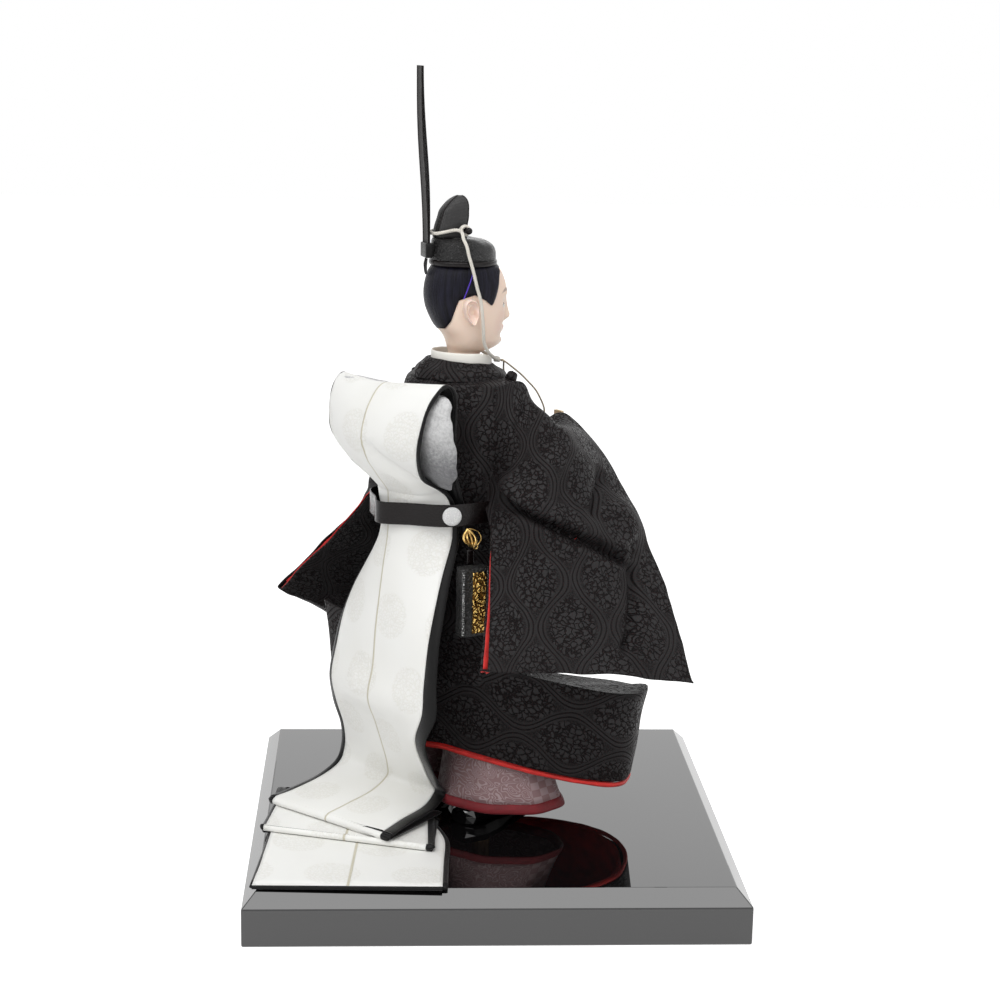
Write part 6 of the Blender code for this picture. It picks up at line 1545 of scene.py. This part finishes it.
def build_cap(looks):
    """The crown with its rim, bowl, upright koji, the koji's edges and its pin."""
    centre = -0.0014
    rings = []
    for radius, height in ((0.0192, 0.3499), (0.0203, 0.3499), (0.0208, 0.3503), (0.0209, 0.3515),
                           (0.0208, 0.3527),
                           (0.0203, 0.3531), (0.0192, 0.3531)):
        rings.append([(centre + radius * math.cos(a), radius * math.sin(a), height)
                      for a in turns(96)])
    loft("crown_rim", put(rings + rings[:1], SKULL), looks["leather"], HEAD, nodes=["cap_rim"],
         caps=False)
    table = np.array(((0.0, 0.985, 0.985, 0.985), (0.06, 1.0, 1.0, 1.0), (0.46, 0.97, 0.985, 0.99),
                      (0.72, 0.86, 0.98, 0.96), (0.90, 0.62, 0.96, 0.86), (1.0, 0.30, 0.90, 0.70),
                      (1.004, 0.10, 0.60, 0.40)))
    rings = []
    for rise, front, back, wide in spline(table, 6, even=False):
        ring = []
        for a in turns(96):
            deep = between(front, back, a, 3.0)
            ring.append((centre + deep * CAP_RADIUS * math.cos(a), wide * CAP_RADIUS * math.sin(a),
                         0.3532 + rise * 0.0130))
        rings.append(ring)
    grid = rough(put(rings, SKULL), True, 0.006, 0.0003, 1.0)
    loft("crown_bowl", grid, looks["cap"], HEAD, nodes=["cap_bowl"])
    sections = np.array(((0.3665, -0.0205, 0.0003, 0.0076), (0.3726, -0.0196, 0.0005, 0.0076),
                         (0.3783, -0.0178, 0.0014, 0.0074), (0.3823, -0.0166, 0.0014, 0.0072),
                         (0.3855, -0.0142, 0.0013, 0.0067), (0.3885, -0.0112, 0.0004, 0.0056),
                         (0.3905, -0.0082, -0.0012, 0.0036), (0.3914, -0.0062, -0.0030, 0.0018)))
    rings = []
    for height, rear, front, half in spline(sections, 5, even=False):
        ring = []
        for a in turns(64):
            x = squared(math.cos(a), 0.75)
            y = squared(math.sin(a), 0.75)
            ring.append(((rear + front) / 2 + (front - rear) / 2 * x, half * y, height))
        rings.append(ring)
    loft("koji_cloth", put(rings, SKULL), looks["net"], HEAD, nodes=["koji"])
    for place in (-0.86, 0.86):
        line = []
        for height, rear, front, half in spline(sections, 5, even=False):
            line.append(((rear + front) / 2 + (front - rear) / 2 * place,
                         -half * (1 - abs(place) ** 2.6) ** 0.39 - 0.0001, height))
        tube("koji_edge_%s" % ("rear" if place < 0 else "front"), put(line, SKULL), 0.00045, looks["leather"],
             HEAD, 8)
    along = ((0.87, 0.5), (0.90, 0.72), (0.97, 1.0), (1.04, 1.0), (1.11, 0.72), (1.14, 0.35))
    shares = [(-a, r) for a, r in along[::-1]] + list(along)
    path = [(-0.0026, a * 0.0160, 0.3714) for a, r in shares]
    tube("koji_pin", put(path, SKULL), [r * 0.0022 for a, r in shares], looks["leather"], HEAD, 16,
         nodes=["cap_pin"],
         levels=1)


def build_ei(looks):
    """The holder, the tail leaves and the cord loop under them."""
    low, high = 0.3547, 0.3632
    rings = []
    for z, grow in ((low - 0.0002, -0.0004), (low + 0.0002, 0.0), (high - 0.0004, 0.0), (high, -0.0004)):
        rings.append([(-0.02435 + squared(math.cos(a), 0.3) * (0.00245 + grow),
                       squared(math.sin(a), 0.3) * (0.0070 + grow), z) for a in turns(48)])
    loft("tail_holder", put(rings, SKULL), looks["satin"], HEAD, nodes=["ei_holder"])
    for side, sign in (("front", 1.0), ("back", -1.0)):
        rows = []
        for t in np.linspace(0.0, 1.0, 60):
            z = 0.3562 + t * 0.1116
            part = 0.00045 + 0.0009 * math.sin(math.pi * t) ** 2 * (1.0 if sign > 0 else 0.4)
            x = -0.0246 - 0.0448 * (z - 0.3560) + sign * part
            x += 0.0006 * math.sin(math.tau * t)
            half = 0.0057 * (1.0 - 0.10 * t)
            rows.append([(x + 0.0003 * math.cos(s * math.pi / 2), s * half, z) for s in np.linspace(-1.0, 1.0,
                                                                                                    13)])
        grid = put(rows, SKULL)
        if float((normals(grid) @ np.array(SKULL.to_3x3().col[0])).sum()) * sign < 0.0:
            grid = grid[:, ::-1]
        cloth("tail_leaf_" + side, grid, looks["gauze"], "tail_leaves", 0.0004, nodes=["ei_leaf_" + side],
              levels=0)
        for s in (0, -1):
            tube("tail_wire_%s_%d" % (side, s + 1), grid[:, s], 0.00035, looks["leather"], "tail_leaves", 6)
    loop = spline([(-0.0246, -0.0012, 0.3537), (-0.0252, -0.0020, 0.3500), (-0.0250, -0.0014, 0.3460),
                   (-0.0248, 0.0, 0.3444), (-0.0250, 0.0014, 0.3460), (-0.0252, 0.0020, 0.3500),
                   (-0.0246, 0.0012, 0.3537)], 60)
    tube("holder_loop", put(loop, SKULL), 0.0006, looks["black_cord"], HEAD, 10, nodes=["ei_loop"],
         strands=2, pitch=0.002)


def build_cords(looks):
    """The twisted chin cord, its knot and its two hanging tails."""
    right = [(-0.0222, 0.0, 0.3690), (-0.0200, -0.0065, 0.3692), (-0.0150, -0.0094, 0.3704),
             (-0.0100, -0.0104, 0.3714), (-0.0072, -0.0130, 0.3712), (-0.0069, -0.0168, 0.3700),
             (-0.0070, -0.0200, 0.3670), (-0.0055, -0.0219, 0.3627), (-0.0042, -0.0225, 0.3570),
             (-0.0028, -0.0228, 0.3524), (-0.0005, -0.0227, 0.3444), (0.0012, -0.0226, 0.3379),
             (0.0036, -0.0224, 0.3299), (0.0049, -0.0220, 0.3217), (0.0062, -0.0206, 0.3117),
             (0.0073, -0.0184, 0.3044), (0.0106, -0.0164, 0.2981), (0.0156, -0.0116, 0.2939),
             (0.0193, -0.0064, 0.2917), (0.0213, -0.0026, 0.2907)]
    left = [(x, -y, z) for x, y, z in right[:0:-1]]
    tube("chin_rope", put(spline(left + right, 620), SKULL), 0.0011, looks["silk_cord"], HEAD, 12,
         nodes=["chin_cord"],
         strands=4, pitch=0.0052, depth=0.22)
    for sign in (-1.0, 1.0):
        loop = []
        for t in np.linspace(0.0, 1.0, 60):
            a = math.radians(200.0) - math.tau * 1.25 * t
            loop.append((-0.0036 + 0.0026 * math.cos(a), sign * (0.0100 + 0.0028 * t),
                         0.3712 + 0.0026 * math.sin(a)))
        tube("chin_wrap_%s" % ("left" if sign > 0 else "right"), put(loop, SKULL), 0.0010, looks["silk_cord"],
             HEAD, 12,
             strands=4, pitch=0.0052, depth=0.22)
    knot = np.array((0.0214, 0.0, 0.2906))
    wraps = []
    for t in np.linspace(0.0, 1.0, 90):
        a = math.tau * 2.5 * t
        wraps.append(knot + (0.0013 * math.cos(a), 0.0016 * math.sin(a), 0.0022 * (t - 0.5)))
    tube("chin_bow", put(wraps, SKULL), 0.0009, looks["silk_cord"], HEAD, 10, nodes=["chin_knot"],
         strands=3, pitch=0.004)
    tails = {"right": [(38.6, 8.2, 280.2), (45.4, 8.2, 274.5), (52.2, 8.2, 268.1), (56.9, 8.2, 261.2),
                       (59.4, 8.2, 256.0), (60.0, 8.0, 252.0)],
             "left": [(33.0, -0.5, 280.5), (40.5, -3.0, 273.0), (46.0, -4.5, 264.0), (48.6, -5.3, 256.0),
                      (49.2, -5.5, 252.0)]}
    turn = CHEST_TURN - HEAD_TURN
    for side, sign in (("right", 1.0), ("left", -1.0)):
        out = np.array((0.90, -0.35 * sign, -0.25))
        out = out / np.linalg.norm(out)
        start = knot + out * 0.0027
        points = [start, start + out * 0.0027]
        for forward, across, height in tails[side]:
            points.append(np.array((forward * math.cos(turn) + across * math.sin(turn),
                                    forward * math.sin(turn) - across * math.cos(turn), height)) * 0.001)
        path = put(spline(points, 240), SKULL)
        made = tube("cord_tail_" + side, path, 0.0006, looks["thin_cord"], HEAD, 10,
                    nodes=["chin_tail_" + side],
                    strands=3, pitch=0.0034, depth=0.2)


# Board, floor and light

def build_board(looks):
    """The lacquered board, with fine rounded edges."""
    def square(inset, height):
        side = BOARD_HALF - inset
        return [(-side, -side, height), (side, -side, height), (side, side, height), (-side, side, height)]

    rings = [square(0.0008, 0.0), square(0.0, 0.0008), square(0.0, 0.0235), square(BOARD_BEVEL, BOARD_TOP)]
    made = loft("board", rings, looks["lacquer"], DOLL, nodes=["base_board"], angle=10.0)
    edge = made.modifiers.new("edge", "BEVEL")
    edge.width = 0.0005
    edge.segments = 2
    edge.limit_method = "ANGLE"
    edge.angle_limit = math.radians(20.0)
    made.data.shade_flat()


def seen_rays(tree):
    """A light path node, and a value of 1 for rays of the camera and of reflections."""
    path = tree.nodes.new("ShaderNodeLightPath")
    seen = tree.nodes.new("ShaderNodeMath")
    seen.operation = "MAXIMUM"
    tree.links.new(path.outputs["Is Camera Ray"], seen.inputs[0])
    tree.links.new(path.outputs["Is Glossy Ray"], seen.inputs[1])
    return path, seen.outputs[0]


def build_stage():
    """A pale floor and plain soft light."""
    points = [(-3.0, -3.0, 0.0), (3.0, -3.0, 0.0), (3.0, 5.0, 0.0), (-3.0, 5.0, 0.0)]
    mesh = bpy.data.meshes.new("floor")
    mesh.from_pydata(points, [], [(0, 1, 2, 3)])
    floor = bpy.data.objects.new("floor", mesh)
    bpy.context.scene.collection.objects.link(floor)
    material = bpy.data.materials.new("floor")
    material.use_nodes = True
    tree = material.node_tree
    shader = tree.nodes["Principled BSDF"]
    shader.inputs["Base Color"].default_value = (0.9, 0.9, 0.9, 1.0)
    shader.inputs["Roughness"].default_value = 0.9
    shader.inputs["Specular IOR Level"].default_value = 0.1
    shader.inputs["Emission Color"].default_value = (1.0, 1.0, 1.0, 1.0)
    seen = seen_rays(tree)[1]
    level = tree.nodes.new("ShaderNodeMath")
    level.operation = "MULTIPLY"
    tree.links.new(seen, level.inputs[0])
    level.inputs[1].default_value = 0.68
    tree.links.new(level.outputs[0], shader.inputs["Emission Strength"])
    mesh.materials.append(material)
    world = bpy.data.worlds.new("studio")
    bpy.context.scene.world = world
    world.use_nodes = True
    tree = world.node_tree
    back = tree.nodes["Background"]
    back.inputs["Color"].default_value = (1.0, 1.0, 1.0, 1.0)
    path, seen = seen_rays(tree)
    both = tree.nodes.new("ShaderNodeMath")
    both.operation = "MAXIMUM"
    tree.links.new(seen, both.inputs[0])
    tree.links.new(path.outputs["Is Transmission Ray"], both.inputs[1])
    level = tree.nodes.new("ShaderNodeMapRange")
    tree.links.new(both.outputs[0], level.inputs[0])
    level.inputs[3].default_value = 0.38
    level.inputs[4].default_value = 1.0
    tree.links.new(level.outputs[0], back.inputs["Strength"])
    for name, place, target, size, power in (
            ("key", (-1.0, -1.0, 1.2), (0.0, 0.0, 0.25), 1.0, 9.0),
            ("fill", (1.3, -1.1, 0.8), (0.0, 0.0, 0.2), 1.2, 3.5),
            ("back", (0.4, 3.0, 1.0), (0.0, 0.0, 0.1), 2.4, 9.0),
            ("top", (0.06, -0.62, 1.55), (0.0, -0.10, 0.10), 1.15, 11.0)):
        data = bpy.data.lights.new(name, "AREA")
        data.size = size
        data.energy = power
        lamp = bpy.data.objects.new(name, data)
        bpy.context.scene.collection.objects.link(lamp)
        way = Vector(target) - Vector(place)
        lamp.matrix_world = Matrix.Translation(place) @ way.to_track_quat("-Z", "Y").to_matrix().to_4x4()


def dress_nodes(looks):
    """Detailed materials for the model's own pieces that stay."""
    choices = {
        "steel": ("fixing_screw_left", "fixing_screw_right", "arm_wire"),
        "wood": ("leg_left", "leg_right", "neck_peg"),
        "pale_wood": ("shaku",),
        "straw": ("straw_core",),
        "skin": ("hand_left", "hand_right"),
        "shoe": ("shoe_left", "shoe_right"),
    }
    for look, nodes in choices.items():
        for node in nodes:
            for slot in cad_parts[node].material_slots:
                slot.material = looks[look]


def main():
    """Dress the whole doll."""
    bpy.context.scene.view_settings.view_transform = "Standard"
    build_camera()
    looks = make_looks()
    build_cords(looks)
    build_board(looks)
    build_robe(looks)
    build_band(looks)
    build_sleeves(looks)
    build_arms(looks)
    build_collars(looks)
    build_trousers(looks)
    build_train(looks)
    build_wadding(looks)
    build_belt(looks)
    build_case(looks)
    build_head(looks)
    build_hair(looks)
    build_cap(looks)
    build_ei(looks)
    build_stage()
    dress_nodes(looks)


main()
bpy.context.view_layer.update()
